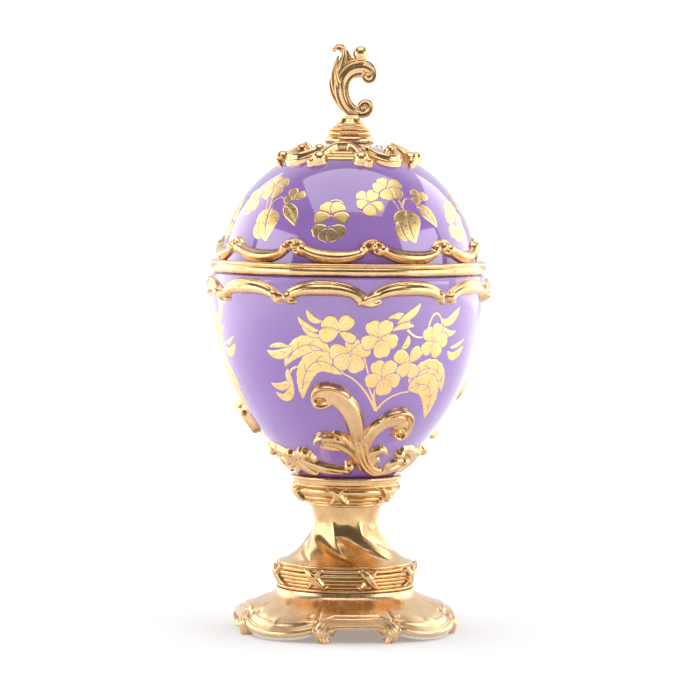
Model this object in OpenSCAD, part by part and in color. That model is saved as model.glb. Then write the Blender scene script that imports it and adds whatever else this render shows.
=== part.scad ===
// Footed, egg-shaped porcelain box. A violet bowl and a lift-off domed lid carry
// gilt rococo relief; the pedestal below is a stack of porcelain pieces that one
// tie bolt draws together. Millimetres, +Z up, origin on the floor at the centre
// of the foot. The box faces -Y. Angles around the box are counted from -Y
// towards +X.

/* [Bowl] */
// Outer radius of the bowl at its rim
rim_r = 43.8; // [36:0.2:53]
// Height of the bowl from its seat to its rim
bowl_h = 64.5; // [53:0.5:78]
// Outer radius of the bowl's flat seat
seat_r = 15.5; // [13:0.5:16.5]
// Thickness of the bowl's wall
bowl_wall = 3; // [2.5:0.1:3.6]
// Thickness of the bowl's floor
bowl_floor = 4.2; // [3.4:0.1:5.2]

/* [Lid] */
// Height of the lid's dome over its straight skirt
dome_h = 39; // [32:0.5:47]
// Height of the straight skirt under the dome
lid_skirt_h = 2; // [1.5:0.1:3]
// How far the dome stands back from the bowl's rim
dome_inset = 3.2; // [2.4:0.1:4]
// Thickness of the lid's wall
lid_wall = 3; // [2.5:0.1:3.6]
// Gap between the lid's seat and the bowl's rim
seat_gap = 0.3; // [0.2:0.05:0.5]
// Depth that the lid's flange reaches into the bowl
flange_depth = 5; // [4:0.5:7]
// Clearance around the flange
flange_gap = 0.5; // [0.4:0.1:0.8]
// Height of the gilt band around the lid's skirt
band_h = 3.9; // [3.2:0.1:4.6]
// How far the gilt band stands out past the bowl's rim
band_out = 0.4; // [0:0.1:1]

/* [Finial] */
// Radius of the finial's base ring
socle_r = 8; // [6.6:0.1:9.6]
// Height of the turned socle
socle_h = 9.7; // [8:0.1:11.6]
// Height of the scroll and leaf above the socle
finial_h = 22.8; // [19:0.2:27.4]
// Width of the scroll's ribbon, front to back
ribbon_w = 5; // [4:0.2:6]

/* [Pedestal] */
// Height of the foot
foot_h = 14; // [12:0.2:16.8]
// Radius of the foot at its lobes
foot_r = 38.2; // [33:0.2:46]
// Radius of the foot's neck
neck_r = 22.2; // [20:0.2:23]
// Thickness of the foot's skirt
foot_wall = 3; // [2.4:0.1:3.6]
// Gap between the lobes and the floor
lobe_gap = 1; // [0.5:0.1:1.5]
// Radius of the arches cut between the scroll feet
arch_cut_r = 5; // [4:0.1:6]
// Height of the reeded ring between foot and stem
ring_h = 8.6; // [7.2:0.1:10.4]
// Greatest radius of the reeded ring
ring_r = 23.2; // [21:0.1:27]
// Height of the stem
stem_h = 17.8; // [14.8:0.2:21.4]
// Radius of the stem's lower end
stem_foot_r = 20; // [17:0.2:20.6]
// Radius of the stem's upper end
stem_top_r = 11.4; // [10:0.1:13]
// Height of the reeded collar under the bowl
collar_h = 9.8; // [8.2:0.1:11.8]
// Greatest radius of the collar
collar_r = 18; // [17:0.1:21]
// Flutes around the stem
flutes = 8; // [6:1:12]
// Depth of a flute
flute_depth = 0.9; // [0.4:0.1:1.4]

/* [Tie bolt] */
// Diameter of the tie bolt
bolt_d = 4; // [3:0.5:5]
// Clearance around the bolt in every bore
bore_gap = 0.5; // [0.3:0.1:0.8]
// Radius of the washers
washer_r = 6; // [5:0.2:7]
// Thickness of a brass washer
washer_t = 0.8; // [0.5:0.1:1.2]
// Thickness of a felt cushion
cushion_t = 1.2; // [0.8:0.1:1.6]
// Thickness of the nut
nut_t = 3.2; // [2.4:0.1:4]

/* [Relief] */
// Swags around each rim garland
swags = 10; // [8:1:12]
// Direction of the lid garland's first knot, in degrees
lid_knot_phi = 10.8; // [0:0.5:36]
// Direction of the bowl garland's first knot, in degrees
bowl_knot_phi = 8; // [0:0.5:36]
// Direction of the first acanthus spray, in degrees
spray_phi = 13; // [0:1:40]
// Direction of the foot's first arch, in degrees
arch_phi = 6; // [0:1:45]
// Height that the relief stands proud of the porcelain
relief_h = 1.9; // [1.4:0.1:2.4]
// Depth that the relief is sunk into the porcelain
relief_sink = 0.6; // [0.4:0.1:0.9]

/* [Hidden] */

violet = "mediumpurple";
gilt = "goldenrod";
brass = "darkgoldenrod";
felt = "seagreen";
$fn = 96;

// Heights of the seats between the stacked pieces
ring_z = foot_h;
stem_z = ring_z + ring_h;
collar_z = stem_z + stem_h;
bowl_z = collar_z + collar_h;
rim_z = bowl_z + bowl_h;
lid_z = rim_z + seat_gap;
dome_z = lid_z + lid_skirt_h;

dome_r = rim_r - dome_inset;
rim_bore_r = rim_r - bowl_wall;
flange_r = rim_bore_r - flange_gap;
lid_seat_r = dome_r + 1.2;
// The dome is cut flat where the socle's foot covers it
socle_foot_r = socle_r - 0.6;
crown_z = dome_z + dome_h * sqrt(1 - pow(socle_foot_r / dome_r, 2));
neck_z = crown_z + socle_h;
bore_r = bolt_d / 2 + bore_gap;

// ---- Curves and outlines ----

function unit(v) = v / norm(v);
function bez(p, t) = pow(1 - t, 3) * p[0] + 3 * t * pow(1 - t, 2) * p[1]
    + 3 * t * t * (1 - t) * p[2] + pow(t, 3) * p[3];
function curve(p, n) = [for (i = [0:n]) bez(p, i / n)];
function reversed(list) = [for (i = [len(list) - 1:-1:0]) list[i]];
// An outline moved sideways by d, to the left of its direction
function beside(line, d) = [for (i = [0:len(line) - 1])
    let (a = line[max(i - 1, 0)], b = line[min(i + 1, len(line) - 1)], t = unit(b - a))
    line[i] + d * [-t[1], t[0]]];

// Outlines are [radius, height] points, from the bottom up
bowl_line = [for (p = curve([[seat_r, 0], [0.726 * rim_r, 0.26 * bowl_h],
    [0.984 * rim_r, 0.468 * bowl_h], [rim_r, bowl_h]], 28)) p + [0, bowl_z]];
crown_angle = acos(socle_foot_r / dome_r);
dome_line = concat([[dome_r, lid_z]], [for (i = [0:24]) let (a = crown_angle * i / 24)
    [dome_r * cos(a), dome_z + dome_h * sin(a)]]);
stem_line = [for (p = curve([[stem_foot_r, 0], [0.58 * stem_foot_r, 0.26 * stem_h],
    [0.83 * stem_top_r, 0.69 * stem_h], [stem_top_r, stem_h]], 14)) p + [0, stem_z]];
collar_line = [for (p = curve([[stem_top_r, 0], [0.79 * collar_r, 0.17 * collar_h],
    [0.95 * collar_r, 0.55 * collar_h], [collar_r - 0.4, collar_h]], 10)) p + [0, collar_z]];
skirt_line = curve([[foot_r, 2.2], [0.87 * foot_r, 0.82 * foot_h],
    [neck_r + 0.3, 0.67 * foot_h], [neck_r, foot_h]], 16);

// ---- Points on a turned surface ----

function radius(line, z) = lookup(z, [for (p = line) [p[1], p[0]]]);
function lean(line, z) = (radius(line, z + 0.2) - radius(line, z - 0.2)) / 0.4;
// The outward normal at angle phi and height z
function out(line, phi, z) = let (n = unit([1, -lean(line, z)]))
    [n[0] * sin(phi), -n[0] * cos(phi), n[1]];
function on(line, phi, z) = let (r = radius(line, z)) [r * sin(phi), -r * cos(phi), z];

// ---- Relief ----

// One ring of a half-round strip: a wide back that is sunk and a rounded face
function strip_ring(point, normal, along, w, h) = let (across = unit(cross(along, normal)))
    [for (a = [0:45:315]) point + across * (w / 2 * cos(a))
        + normal * (sin(a) * (sin(a) > 0 ? h : relief_sink))];

// A half-round strip along a path of [point, normal, width, height]
module strip(path, closed = false) {
    n = len(path);
    rings = [for (i = [0:n - 1])
        let (a = closed ? (i + n - 1) % n : max(i - 1, 0),
            b = closed ? (i + 1) % n : min(i + 1, n - 1))
        strip_ring(path[i][0], path[i][1], unit(path[b][0] - path[a][0]),
            path[i][2], path[i][3])];
    last = closed ? n - 1 : n - 2;
    sides = [for (i = [0:last], j = [0:7])
        let (k = (i + 1) % n, m = (j + 1) % 8)
        [i * 8 + j, i * 8 + m, k * 8 + m, k * 8 + j]];
    ends = closed ? [] : [[7, 6, 5, 4, 3, 2, 1, 0], [for (j = [0:7]) (n - 1) * 8 + j]];
    polyhedron([for (r = rings, p = r) p], concat(sides, ends), convexity = 6);
}

// A stroke that follows a curve of [phi, z] on a turned surface and swells in
// the middle from its root width to its belly width and back to its tip width
module stroke(line, p, widths, n = 6) {
    strip([for (i = [0:n]) let (t = i / n, q = bez(p, t),
        w = widths[0] + (widths[2] - widths[0]) * t
            + (widths[1] - (widths[0] + widths[2]) / 2) * sin(180 * t))
        [on(line, q[0], q[1]), out(line, q[0], q[1]), w, relief_h * min(1, 0.55 + w / 8)]]);
}

// A bead that stands on a turned surface, a little taller than it is round
module bead(line, phi, z, r) {
    p = on(line, phi, z);
    hull() {
        translate(p) sphere(r, $fn = 7);
        translate(p + out(line, phi, z) * r) sphere(0.55 * r, $fn = 5);
    }
}

// Two ribbons that cross on a moulding, the one over the other
module ribbon_cross(line, phi, z0, z1, turn, w) {
    for (s = [-1, 1]) strip([for (i = [0:3])
        let (t = i / 3, z = z0 + (z1 - z0) * t, f = phi + s * turn * (t - 0.5))
        [on(line, f, z), out(line, f, z), w + 0.2 * s, 0.7 + 0.15 * s]]);
}

// ---- Lid ----

module lid_shell() {
    inner_r = dome_r - lid_wall;
    inner_h = dome_h - lid_wall;
    color(violet) rotate_extrude() polygon(concat(
        [[inner_r, rim_z - flange_depth], [flange_r, rim_z - flange_depth],
            [flange_r, lid_z], [lid_seat_r, lid_z], [lid_seat_r, lid_z + band_h],
            [radius(dome_line, lid_z + band_h), lid_z + band_h]],
        [for (p = dome_line) if (p[1] > lid_z + band_h + 0.1) p],
        [[0, crown_z]],
        [for (i = [0:20]) let (a = 90 * (1 - i / 20))
            [inner_r * cos(a), dome_z + inner_h * sin(a)]]));
}

module lid_rim_band() {
    roll = 0.27 * band_h;
    color(gilt) rotate_extrude() difference() {
        union() {
            translate([0, lid_z]) square([rim_r + band_out - 0.9, band_h]);
            translate([rim_r + band_out - roll - 0.2, lid_z + band_h - 0.6 * roll]) circle(0.6 * roll);
            intersection() {
                translate([rim_r + band_out - 1.7 * roll, lid_z + 1.25 * roll]) circle(1.7 * roll);
                translate([0, lid_z]) square([rim_r + band_out, 2.5 * roll]);
            }
        }
        square([lid_seat_r, 2 * lid_z]);
    }
}

// A garland of swags on a turned surface: a closed strip between knots, with
// two big beads and a small one at every knot
module garland(line, first, knot_z, sag, w, knot_r) {
    steps = 7;
    strip([for (i = [0:swags * steps - 1])
        let (t = (i % steps) / steps, phi = first + 360 * i / (swags * steps),
            z = knot_z + sag * (1 - pow(2 * t - 1, 2)))
        [on(line, phi, z), out(line, phi, z), w, relief_h]], closed = true);
    for (k = [0:swags - 1], s = [-1, 0, 1])
        bead(line, first + 360 * k / swags + 3.1 * s, knot_z + 0.4 * (1 - abs(s)) * sign(-sag),
            s == 0 ? 0.8 * knot_r : knot_r);
}

module lid_rim_garland() {
    color(gilt) garland(dome_line, lid_knot_phi, dome_z + 6.9, -2.6, 2.8, 1.5);
}

module crown_garland() {
    scrolls = 8;
    steps = 7;
    first = -8.4;
    color(gilt) {
        strip([for (i = [0:scrolls * steps - 1])
            let (t = (i % steps) / steps, side = floor(i / steps) % 2 == 0 ? 1 : -1,
                phi = first + 360 * (i / steps - 0.5) / scrolls,
                z = crown_z - 4.6 + 1.5 * side * sin(180 * t))
            [on(dome_line, phi, z), out(dome_line, phi, z), 3.4, relief_h]], closed = true);
        for (k = [0:scrolls - 1])
            bead(dome_line, first + 360 * (k - 0.5) / scrolls, crown_z - 5.2, 1.9);
    }
}

// ---- Finial ----

module finial_socle() {
    neck = 3.7;
    // Each turned ring is [its outer radius, its bead radius, its height above the crown]
    rings = [[socle_r, 1.35, 0.3 * socle_h], [socle_r - 1, 1.05, 0.56 * socle_h],
        [socle_r - 3.4, 0.95, 0.77 * socle_h]];
    color(gilt) rotate_extrude() {
        translate([0, crown_z]) square([neck, socle_h]);
        translate([0, crown_z]) square([socle_foot_r, 0.3 * socle_h]);
        translate([0, crown_z]) square([socle_r - 2.1, 0.56 * socle_h]);
        translate([0, crown_z]) square([neck + 0.3, 0.77 * socle_h]);
        for (r = rings) translate([r[0] - r[1], crown_z + r[2]]) circle(r[1]);
    }
}

// A flat band that runs along a curve in the finial's own upright plane
module upright_band(points, thick, width) {
    strip([for (i = [0:len(points) - 1])
        let (a = points[max(i - 1, 0)], b = points[min(i + 1, len(points) - 1)],
            t = unit(b - a), p = points[i])
        [[p[0], 0, neck_z + p[1]], [-t[1], 0, t[0]], width[i], thick]]);
}

// The finial's points are shares of its height, sideways and up
module finial_scroll() {
    low = [[0.19, 0.13], [0.06, -0.06], [-0.2, 0.14], [-0.16, 0.42]];
    high = [[-0.16, 0.42], [-0.12, 0.7], [0.14, 0.9], [0.33, 0.62]];
    back = concat(curve(low, 7), [for (i = [1:7]) bez(high, i / 7)]);
    color(gilt) {
        upright_band(back * finial_h, 1.3,
            [for (i = [0:len(back) - 1]) ribbon_w * (0.75 + 0.25 * sin(180 * i / (len(back) - 1)))]);
        for (end = [[0.2, 0.14, 0.085], [0.28, 0.58, 0.07]])
            translate([end[0] * finial_h, 0, neck_z + end[1] * finial_h]) rotate([90, 0, 0])
                cylinder(r = end[2] * finial_h, h = ribbon_w, center = true);
    }
}

module finial_leaf() {
    rib = curve([[-0.06, 0.02], [-0.22, 0.3], [-0.26, 0.72], [-0.02, 0.94]], 12);
    color(gilt) upright_band(rib * finial_h, 1.1,
        [for (i = [0:12]) ribbon_w * (0.7 + 0.5 * sin(15 * i))]);
}

module finial_bead() {
    r = 0.1 * finial_h;
    color(gilt) translate([0.14 * finial_h, 0, neck_z + 0.875 * finial_h]) {
        sphere(r);
        translate([0, 0, -1.15 * r]) cylinder(r = 0.7 * r, h = 0.6 * r);
    }
}

// ---- Bowl ----

module bowl_shell() {
    floor_z = bowl_z + bowl_floor;
    straight_z = rim_z - flange_depth - 2;
    inner = [for (p = beside(bowl_line, bowl_wall)) if (p[1] > floor_z + 0.5 && p[1] < straight_z) p];
    color(violet) difference() {
        rotate_extrude() polygon(concat([[0, bowl_z]], bowl_line,
            [[rim_bore_r, rim_z], [rim_bore_r, straight_z]], reversed(inner),
            [[inner[0][0] - 0.8, floor_z], [0, floor_z]]));
        translate([0, 0, bowl_z - 1]) cylinder(r = bore_r, h = bowl_floor + 2);
    }
}

module bowl_rim_garland() {
    color(gilt) garland(bowl_line, bowl_knot_phi, rim_z - 6.4, 3.1, 3.3, 1.7);
}

// An acanthus spray: five scrolls from one root, each [its curve, its widths, its
// tip bead], in degrees from the spray's middle and millimetres above the seat
module acanthus_spray(k) {
    scrolls = [
        [[[2, 3.6], [-3, 13], [-11, 31], [-27, 29]], [2.6, 4.8, 3.6], [-26, 27, 2]],
        [[[2, 4], [-3, 14], [6, 25], [22, 19]], [2.4, 4, 3.2], [22, 17, 1.9]],
        [[[1, 3.6], [-6, 9], [-16, 15.5], [-31, 13.5]], [2.2, 3.6, 2.6], [-31, 12.2, 1.5]],
        [[[5, 3.6], [-1, 9], [6, 12.5], [16, 9]], [1.8, 2.4, 1.8], [16, 8, 1.3]],
        [[[4, 4], [14, 1.8], [24, 2.4], [30, 5]], [2, 2.4, 1.6], [30, 5.4, 1.1]]];
    color(gilt) rotate([0, 0, spray_phi + 120 * k]) for (s = scrolls) {
        stroke(bowl_line, [for (p = s[0]) p + [0, bowl_z]], s[1]);
        bead(bowl_line, s[2][0], bowl_z + s[2][1], s[2][2]);
        bead(bowl_line, s[0][0][0], bowl_z + s[0][0][1], 1.2);
    }
}
module acanthus_spray_1() { acanthus_spray(0); }
module acanthus_spray_2() { acanthus_spray(1); }
module acanthus_spray_3() { acanthus_spray(2); }

// The branches that run round the bowl's seat from a spray to its neighbours
module base_garland(k) {
    branches = [
        [[[-10, 3], [-38, 1.6], [-50, 8], [-80, 10]], [1.8, 2.8, 1.8], [-80, 9.2, 1.5]],
        [[[-16, 3.6], [-30, 3.6], [-37, 7], [-45, 8.8]], [1.6, 2.6, 1.6], [-45, 8.8, 1.7]],
        [[[36, 3.2], [44, 3], [56, 4], [66, 6]], [1.8, 2.6, 1.6], [66, 6.6, 1.4]],
        [[[36, 3.2], [40, 5.4], [46, 6.4], [52, 7.4]], [1.4, 2, 1.4], [52, 7.6, 1.1]]];
    color(gilt) rotate([0, 0, spray_phi + 120 * k]) for (s = branches) {
        stroke(bowl_line, [for (p = s[0]) p + [0, bowl_z]], s[1]);
        bead(bowl_line, s[2][0], bowl_z + s[2][1], s[2][2]);
        bead(bowl_line, s[0][0][0], bowl_z + s[0][0][1], 1);
    }
}
module base_garland_1() { base_garland(0); }
module base_garland_2() { base_garland(1); }
module base_garland_3() { base_garland(2); }

// ---- Pedestal ----

// The plain bore that the tie bolt passes through
module bolt_bore(z, h) {
    translate([0, 0, z - 1]) cylinder(r = bore_r, h = h + 2);
}

module collar() {
    // Each reed is [its share of the collar's height, its bead radius]
    reeds = [[0.13, 0.65], [0.27, 0.75], [0.48, 1.2], [0.72, 0.75], [0.9, 0.95]];
    color(gilt) difference() {
        rotate_extrude() {
            polygon(concat([[0, collar_z]], collar_line, [[0, bowl_z]]));
            for (r = reeds) let (z = collar_z + r[0] * collar_h)
                translate([radius(collar_line, z) - 0.45 * r[1], z]) circle(r[1]);
        }
        bolt_bore(collar_z, collar_h);
    }
}

module collar_ribbons() {
    line = beside(collar_line, -0.6);
    color(gilt) for (k = [0:5])
        ribbon_cross(line, -12 + 60 * k, collar_z + 0.25 * collar_h, collar_z + 0.74 * collar_h, 11, 1.5);
}

// The stem's flutes swirl: they run steeply down and round, and fade at both ends
module stem() {
    around = 48;
    levels = 12;
    swirl = 62;
    rows = [for (i = [0:levels]) let (t = i / levels, z = stem_z + stem_h * t,
        depth = flute_depth * pow(sin(180 * min(1, t + 0.02)), 0.7))
        [for (j = [0:around - 1]) let (a = 360 * j / around,
            wave = abs(cos(flutes / 2 * (a + swirl * t * t - swirl))),
            r = radius(stem_line, z) - depth * wave)
            [r * sin(a), -r * cos(a), z]]];
    sides = [for (i = [0:levels - 1], j = [0:around - 1]) let (m = (j + 1) % around)
        [i * around + j, (i + 1) * around + j, (i + 1) * around + m, i * around + m]];
    ends = [[for (j = [0:around - 1]) j],
        [for (j = [around - 1:-1:0]) levels * around + j]];
    color(gilt) difference() {
        polyhedron([for (r = rows, p = r) p], concat(sides, ends), convexity = 6);
        bolt_bore(stem_z, stem_h);
    }
}

// Each reed of the ring is [its share of the ring's height, how far it stands back]
ring_reeds = [[0.15, 1.2], [0.38, 0.4], [0.62, 0], [0.85, 0.9]];
reed_r = 0.14 * ring_h;

module stem_ring() {
    color(gilt) difference() {
        rotate_extrude() {
            translate([0, ring_z]) square([ring_r - 2.4, ring_h]);
            for (r = ring_reeds)
                translate([ring_r - r[1] - reed_r, ring_z + r[0] * ring_h]) circle(reed_r);
        }
        bolt_bore(ring_z, ring_h);
    }
}

module ring_ribbons() {
    line = [for (r = ring_reeds) [ring_r - r[1] - 0.2, ring_z + r[0] * ring_h]];
    color(gilt) for (k = [0:7])
        ribbon_cross(line, 20 + 45 * k, ring_z + 0.15 * ring_h, ring_z + 0.85 * ring_h, 12, 1.8);
}

lobe_phi = arch_phi + 45;
lobe_r = 0.576 * foot_r;
lobe_mid = foot_r - lobe_r;
arch_r = 0.908 * foot_r;
scroll_phi = 16.3;

module foot_plan() {
    circle(arch_r);
    for (k = [0:3]) rotate(lobe_phi + 90 * k) translate([0, -lobe_mid]) circle(lobe_r);
}

module foot() {
    roof_z = foot_h - foot_wall;
    under = [for (p = beside(skirt_line, foot_wall)) if (p[1] > 2.2 && p[1] < roof_z - 0.3) p];
    color(gilt) difference() {
        intersection() {
            rotate_extrude() polygon(concat([[0, foot_h], [0, roof_z]],
                [[under[len(under) - 1][0], roof_z]], reversed(under),
                [[foot_r - foot_wall, lobe_gap], [foot_r, lobe_gap]], skirt_line));
            linear_extrude(height = 2 * foot_h) foot_plan();
        }
        bolt_bore(0, foot_h);
        for (k = [0:3]) rotate([0, 0, arch_phi + 90 * k]) translate([0, 0, -0.1 * arch_cut_r])
            rotate([90, 0, 0]) cylinder(r = arch_cut_r, h = foot_r + 2);
    }
}

// The rolled edge of the foot: along each lobe, and up over each arch
module foot_rim_moulding() {
    inset = 0.3;
    color(gilt) for (k = [0:3]) {
        rotate([0, 0, lobe_phi + 90 * k]) strip([for (i = [0:8])
            let (a = -46 + 92 * i / 8, n = [sin(a), -cos(a), 0])
            [[0, -lobe_mid, lobe_gap + 1.8 + 0.9 * pow(a / 46, 2)] + n * (lobe_r - inset), n, 2.4, 0.9]]);
        rotate([0, 0, arch_phi + 90 * k]) strip([for (i = [0:6])
            let (t = i / 3 - 1, a = 12.5 * t, n = [sin(a), -cos(a), 0])
            [n * (arch_r - inset) + [0, 0, arch_cut_r + 1.1 - 1.5 * t * t], n, 1.7, 0.9]]);
    }
}

// Eight short scrolls that the box stands on, each a tapered leg under a curl
module foot_scrolls() {
    leg_h = 4.6;
    color(gilt) for (k = [0:3], s = [-1, 1]) rotate([0, 0, arch_phi + 90 * k + scroll_phi * s])
        translate([0, -arch_r, 0]) {
            cylinder(r1 = 1.5, r2 = 2.6, h = leg_h);
            translate([0, 0, leg_h]) sphere(2.6);
        }
}

// ---- Tie bolt and what it clamps ----

clamp_top = bowl_z + bowl_floor;
clamp_bottom = foot_h - foot_wall;

module washer(z, r, t) {
    difference() {
        translate([0, 0, z]) cylinder(r = r, h = t);
        translate([0, 0, z - 1]) cylinder(r = bore_r, h = t + 2);
    }
}

module bowl_cushion() { color(felt) washer(clamp_top, washer_r + 0.5, cushion_t); }
module bowl_washer() { color(brass) washer(clamp_top + cushion_t, washer_r, washer_t); }
module foot_cushion() { color(felt) washer(clamp_bottom - cushion_t, washer_r + 0.5, cushion_t); }
module foot_washer() { color(brass) washer(clamp_bottom - cushion_t - washer_t, washer_r, washer_t); }

module tie_bolt() {
    head_z = clamp_top + cushion_t + washer_t;
    end_z = clamp_bottom - cushion_t - washer_t - nut_t - 0.8;
    color(brass) {
        translate([0, 0, end_z]) cylinder(d = bolt_d, h = head_z - end_z + 0.5);
        difference() {
            translate([0, 0, head_z]) cylinder(r1 = 0.95 * bolt_d, r2 = 0.7 * bolt_d, h = 0.6 * bolt_d);
            translate([-bolt_d, -0.3, head_z + 0.35 * bolt_d]) cube([2 * bolt_d, 0.6, bolt_d]);
        }
    }
}

module tie_nut() {
    color(brass) translate([0, 0, clamp_bottom - cushion_t - washer_t - nut_t]) difference() {
        cylinder(r = bolt_d, h = nut_t, $fn = 6);
        translate([0, 0, -1]) cylinder(d = bolt_d, h = nut_t + 2);
    }
}

lid_shell();
lid_rim_band();
lid_rim_garland();
crown_garland();
finial_socle();
finial_scroll();
finial_leaf();
finial_bead();
bowl_shell();
bowl_rim_garland();
acanthus_spray_1();
acanthus_spray_2();
acanthus_spray_3();
base_garland_1();
base_garland_2();
base_garland_3();
collar();
collar_ribbons();
stem();
stem_ring();
ring_ribbons();
foot();
foot_rim_moulding();
foot_scrolls();
tie_bolt();
bowl_cushion();
bowl_washer();
foot_cushion();
foot_washer();
tie_nut();
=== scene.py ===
import math
import bmesh
import bpy
import numpy as np
from mathutils import Matrix, Vector


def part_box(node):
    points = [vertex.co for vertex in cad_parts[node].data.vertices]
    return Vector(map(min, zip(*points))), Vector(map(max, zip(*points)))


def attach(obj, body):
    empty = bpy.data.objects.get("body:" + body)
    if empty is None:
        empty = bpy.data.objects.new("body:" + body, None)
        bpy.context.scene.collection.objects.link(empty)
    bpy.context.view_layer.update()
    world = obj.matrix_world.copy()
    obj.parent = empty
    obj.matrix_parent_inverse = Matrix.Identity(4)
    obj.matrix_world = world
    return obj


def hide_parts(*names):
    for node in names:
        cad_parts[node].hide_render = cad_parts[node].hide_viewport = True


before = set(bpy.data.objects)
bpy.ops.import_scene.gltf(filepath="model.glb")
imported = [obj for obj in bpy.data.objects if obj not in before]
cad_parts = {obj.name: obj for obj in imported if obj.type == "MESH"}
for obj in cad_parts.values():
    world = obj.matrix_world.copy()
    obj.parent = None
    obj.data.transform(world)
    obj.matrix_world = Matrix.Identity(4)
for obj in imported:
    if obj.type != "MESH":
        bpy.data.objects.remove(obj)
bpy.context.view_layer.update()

# Looks for a footed egg-shaped porcelain box: violet glaze, gilt rococo relief and gilt
# flower transfers. Shapes are worked out in millimetres in the CAD frame. Angles around
# the box are in degrees from the front (-Y) towards +X.
MM = 0.001


def low(node):
    return np.array(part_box(node)[0]) / MM


def high(node):
    return np.array(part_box(node)[1]) / MM


# ---- Places, all from the frame ----

RIM_Z = high("bowl_shell")[2]
BOWL_Z = low("bowl_shell")[2]
COLLAR_Z = low("collar")[2]
STEM_Z = low("stem")[2]
RING_Z = low("stem_ring")[2]
LID_Z = low("lid_rim_band")[2]
BAND_TOP = high("lid_rim_band")[2]
CROWN_Z = high("lid_shell")[2]
NECK_Z = high("finial_socle")[2]
TOP_Z = high("finial_leaf")[2]
RIM_R = high("bowl_shell")[0]
BAND_R = high("lid_rim_band")[0]
DOME_R = high("lid_shell")[0] - 1.2
RING_R = high("stem_ring")[0]
BOWL_H = RIM_Z - BOWL_Z
STEM_H = COLLAR_Z - STEM_Z
COLLAR_H = BOWL_Z - COLLAR_Z
RING_H = STEM_Z - RING_Z
SOCLE_R = high("finial_socle")[0]
SOCLE_FOOT_R = SOCLE_R - 0.6
SEAT_R = 15.5
SKIRT_H = 2.0
DOME_Z = LID_Z + SKIRT_H
DOME_H = (CROWN_Z - DOME_Z) / math.sqrt(1 - (SOCLE_FOOT_R / DOME_R) ** 2)
WALL = 3.0
BORE_R = 2.5
ROUND_STEP = 120


# ---- Curves ----

def bez(p, t):
    p, t = np.array(p, float), np.asarray(t, float)[..., None]
    return (1 - t) ** 3 * p[0] + 3 * t * (1 - t) ** 2 * p[1] + 3 * t * t * (1 - t) * p[2] + t ** 3 * p[3]


def curve(p, n=32):
    return bez(p, np.linspace(0, 1, n + 1))


def offsets(points, n, at):
    """A curve whose control points are offsets from the place at."""
    return curve(np.array(points, float) + at, n)


def chain(*pieces):
    return np.concatenate([pieces[0]] + [p[1:] for p in pieces[1:]])


def ease(x, a, b):
    t = np.clip((np.asarray(x, float) - a) / (b - a), 0, 1)
    return t * t * (3 - 2 * t)


def unit(v):
    return v / np.maximum(np.linalg.norm(v, axis=-1, keepdims=True), 1e-12)


def profile(*pairs):
    """A cross-section: heights at shares of the half-width."""
    q, h = np.array(pairs, float).T
    return lambda x: np.interp(x, q, h)


# ---- Meshes ----

def add(name, verts, faces, body, finish, replaces=(), marks=None, sharp=50):
    """A closed piece from points in millimetres, face arrays, and a finish: a slot, which is not used, and
    its material.
    """
    slot, material = finish
    mesh = bpy.data.meshes.new(name)
    mesh.from_pydata((np.asarray(verts) * MM).tolist(), [],
                     [f for a in faces for f in np.asarray(a).tolist()])
    bm = bmesh.new()
    bm.from_mesh(mesh)
    bmesh.ops.recalc_face_normals(bm, faces=bm.faces)
    bm.to_mesh(mesh)
    bm.free()
    mesh.polygons.foreach_set("use_smooth", np.ones(len(mesh.polygons), bool))
    mesh.set_sharp_from_angle(angle=math.radians(sharp))
    for key, values in (marks or {}).items():
        mesh.attributes.new(key, "FLOAT", "POINT").data.foreach_set("value", np.asarray(values, np.float32))
    ob = bpy.data.objects.new(name, mesh)
    bpy.context.scene.collection.objects.link(ob)
    mesh.materials.append(material)
    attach(ob, body)
    if replaces:
        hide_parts(*replaces)
    return ob


def grid_faces(rows, cols, close_rows=False, close_cols=False, start=0):
    i = np.arange(rows if close_rows else rows - 1)
    j = np.arange(cols if close_cols else cols - 1)
    i, j = [a.ravel() for a in np.meshgrid(i, j, indexing="ij")]
    k, m = (i + 1) % rows, (j + 1) % cols
    return start + np.stack([i * cols + j, i * cols + m, k * cols + m, k * cols + j], 1)


def fans(start, last, cols):
    """Triangles that close the first ring on point start, and the ring from last on the next point."""
    j = np.arange(cols)
    k = (j + 1) % cols
    return [np.stack([np.full(cols, start), k, j], 1),
            np.stack([np.full(cols, start + 1), last + j, last + k], 1)]


def around(r, z, phi):
    """Points at radius r, height z and angle phi."""
    a = np.radians(phi)
    return np.stack([r * np.sin(a), -r * np.cos(a), z + 0 * a], -1)


def turned(r, z, cols=256):
    """A ring of points for each outline point. The outline closes on itself, or ends on the axis."""
    phi = np.arange(cols) * 360 / cols
    if np.ndim(r) == 1:
        r, z = np.array(r, float)[:, None], np.array(z, float)[:, None]
    pts = around(r + 0 * phi, z + 0 * phi, phi[None, :])
    rows = len(pts)
    if r[0].max() > 1e-6:
        return pts.reshape(-1, 3), [grid_faces(rows, cols, True, True)]
    body = pts[1:-1].reshape(-1, 3)
    ends = np.array([pts[0, 0], pts[-1, 0]])
    n = len(body)
    return np.concatenate([body, ends]), [grid_faces(rows - 2, cols, False, True)] + fans(n, n - cols, cols)


def lathe(name, outline, body, finish, replaces=(), cols=256, sharp=50, bare=None):
    """A turned piece. bare tells which of its points are white porcelain, from their radius and height."""
    o = np.array(outline, float)
    verts, faces = turned(o[:, 0], o[:, 1], cols)
    marks = {"bare": bare(np.hypot(verts[:, 0], verts[:, 1]), verts[:, 2])} if bare else None
    return add(name, verts, faces, body, finish, replaces, marks, sharp)


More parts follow.
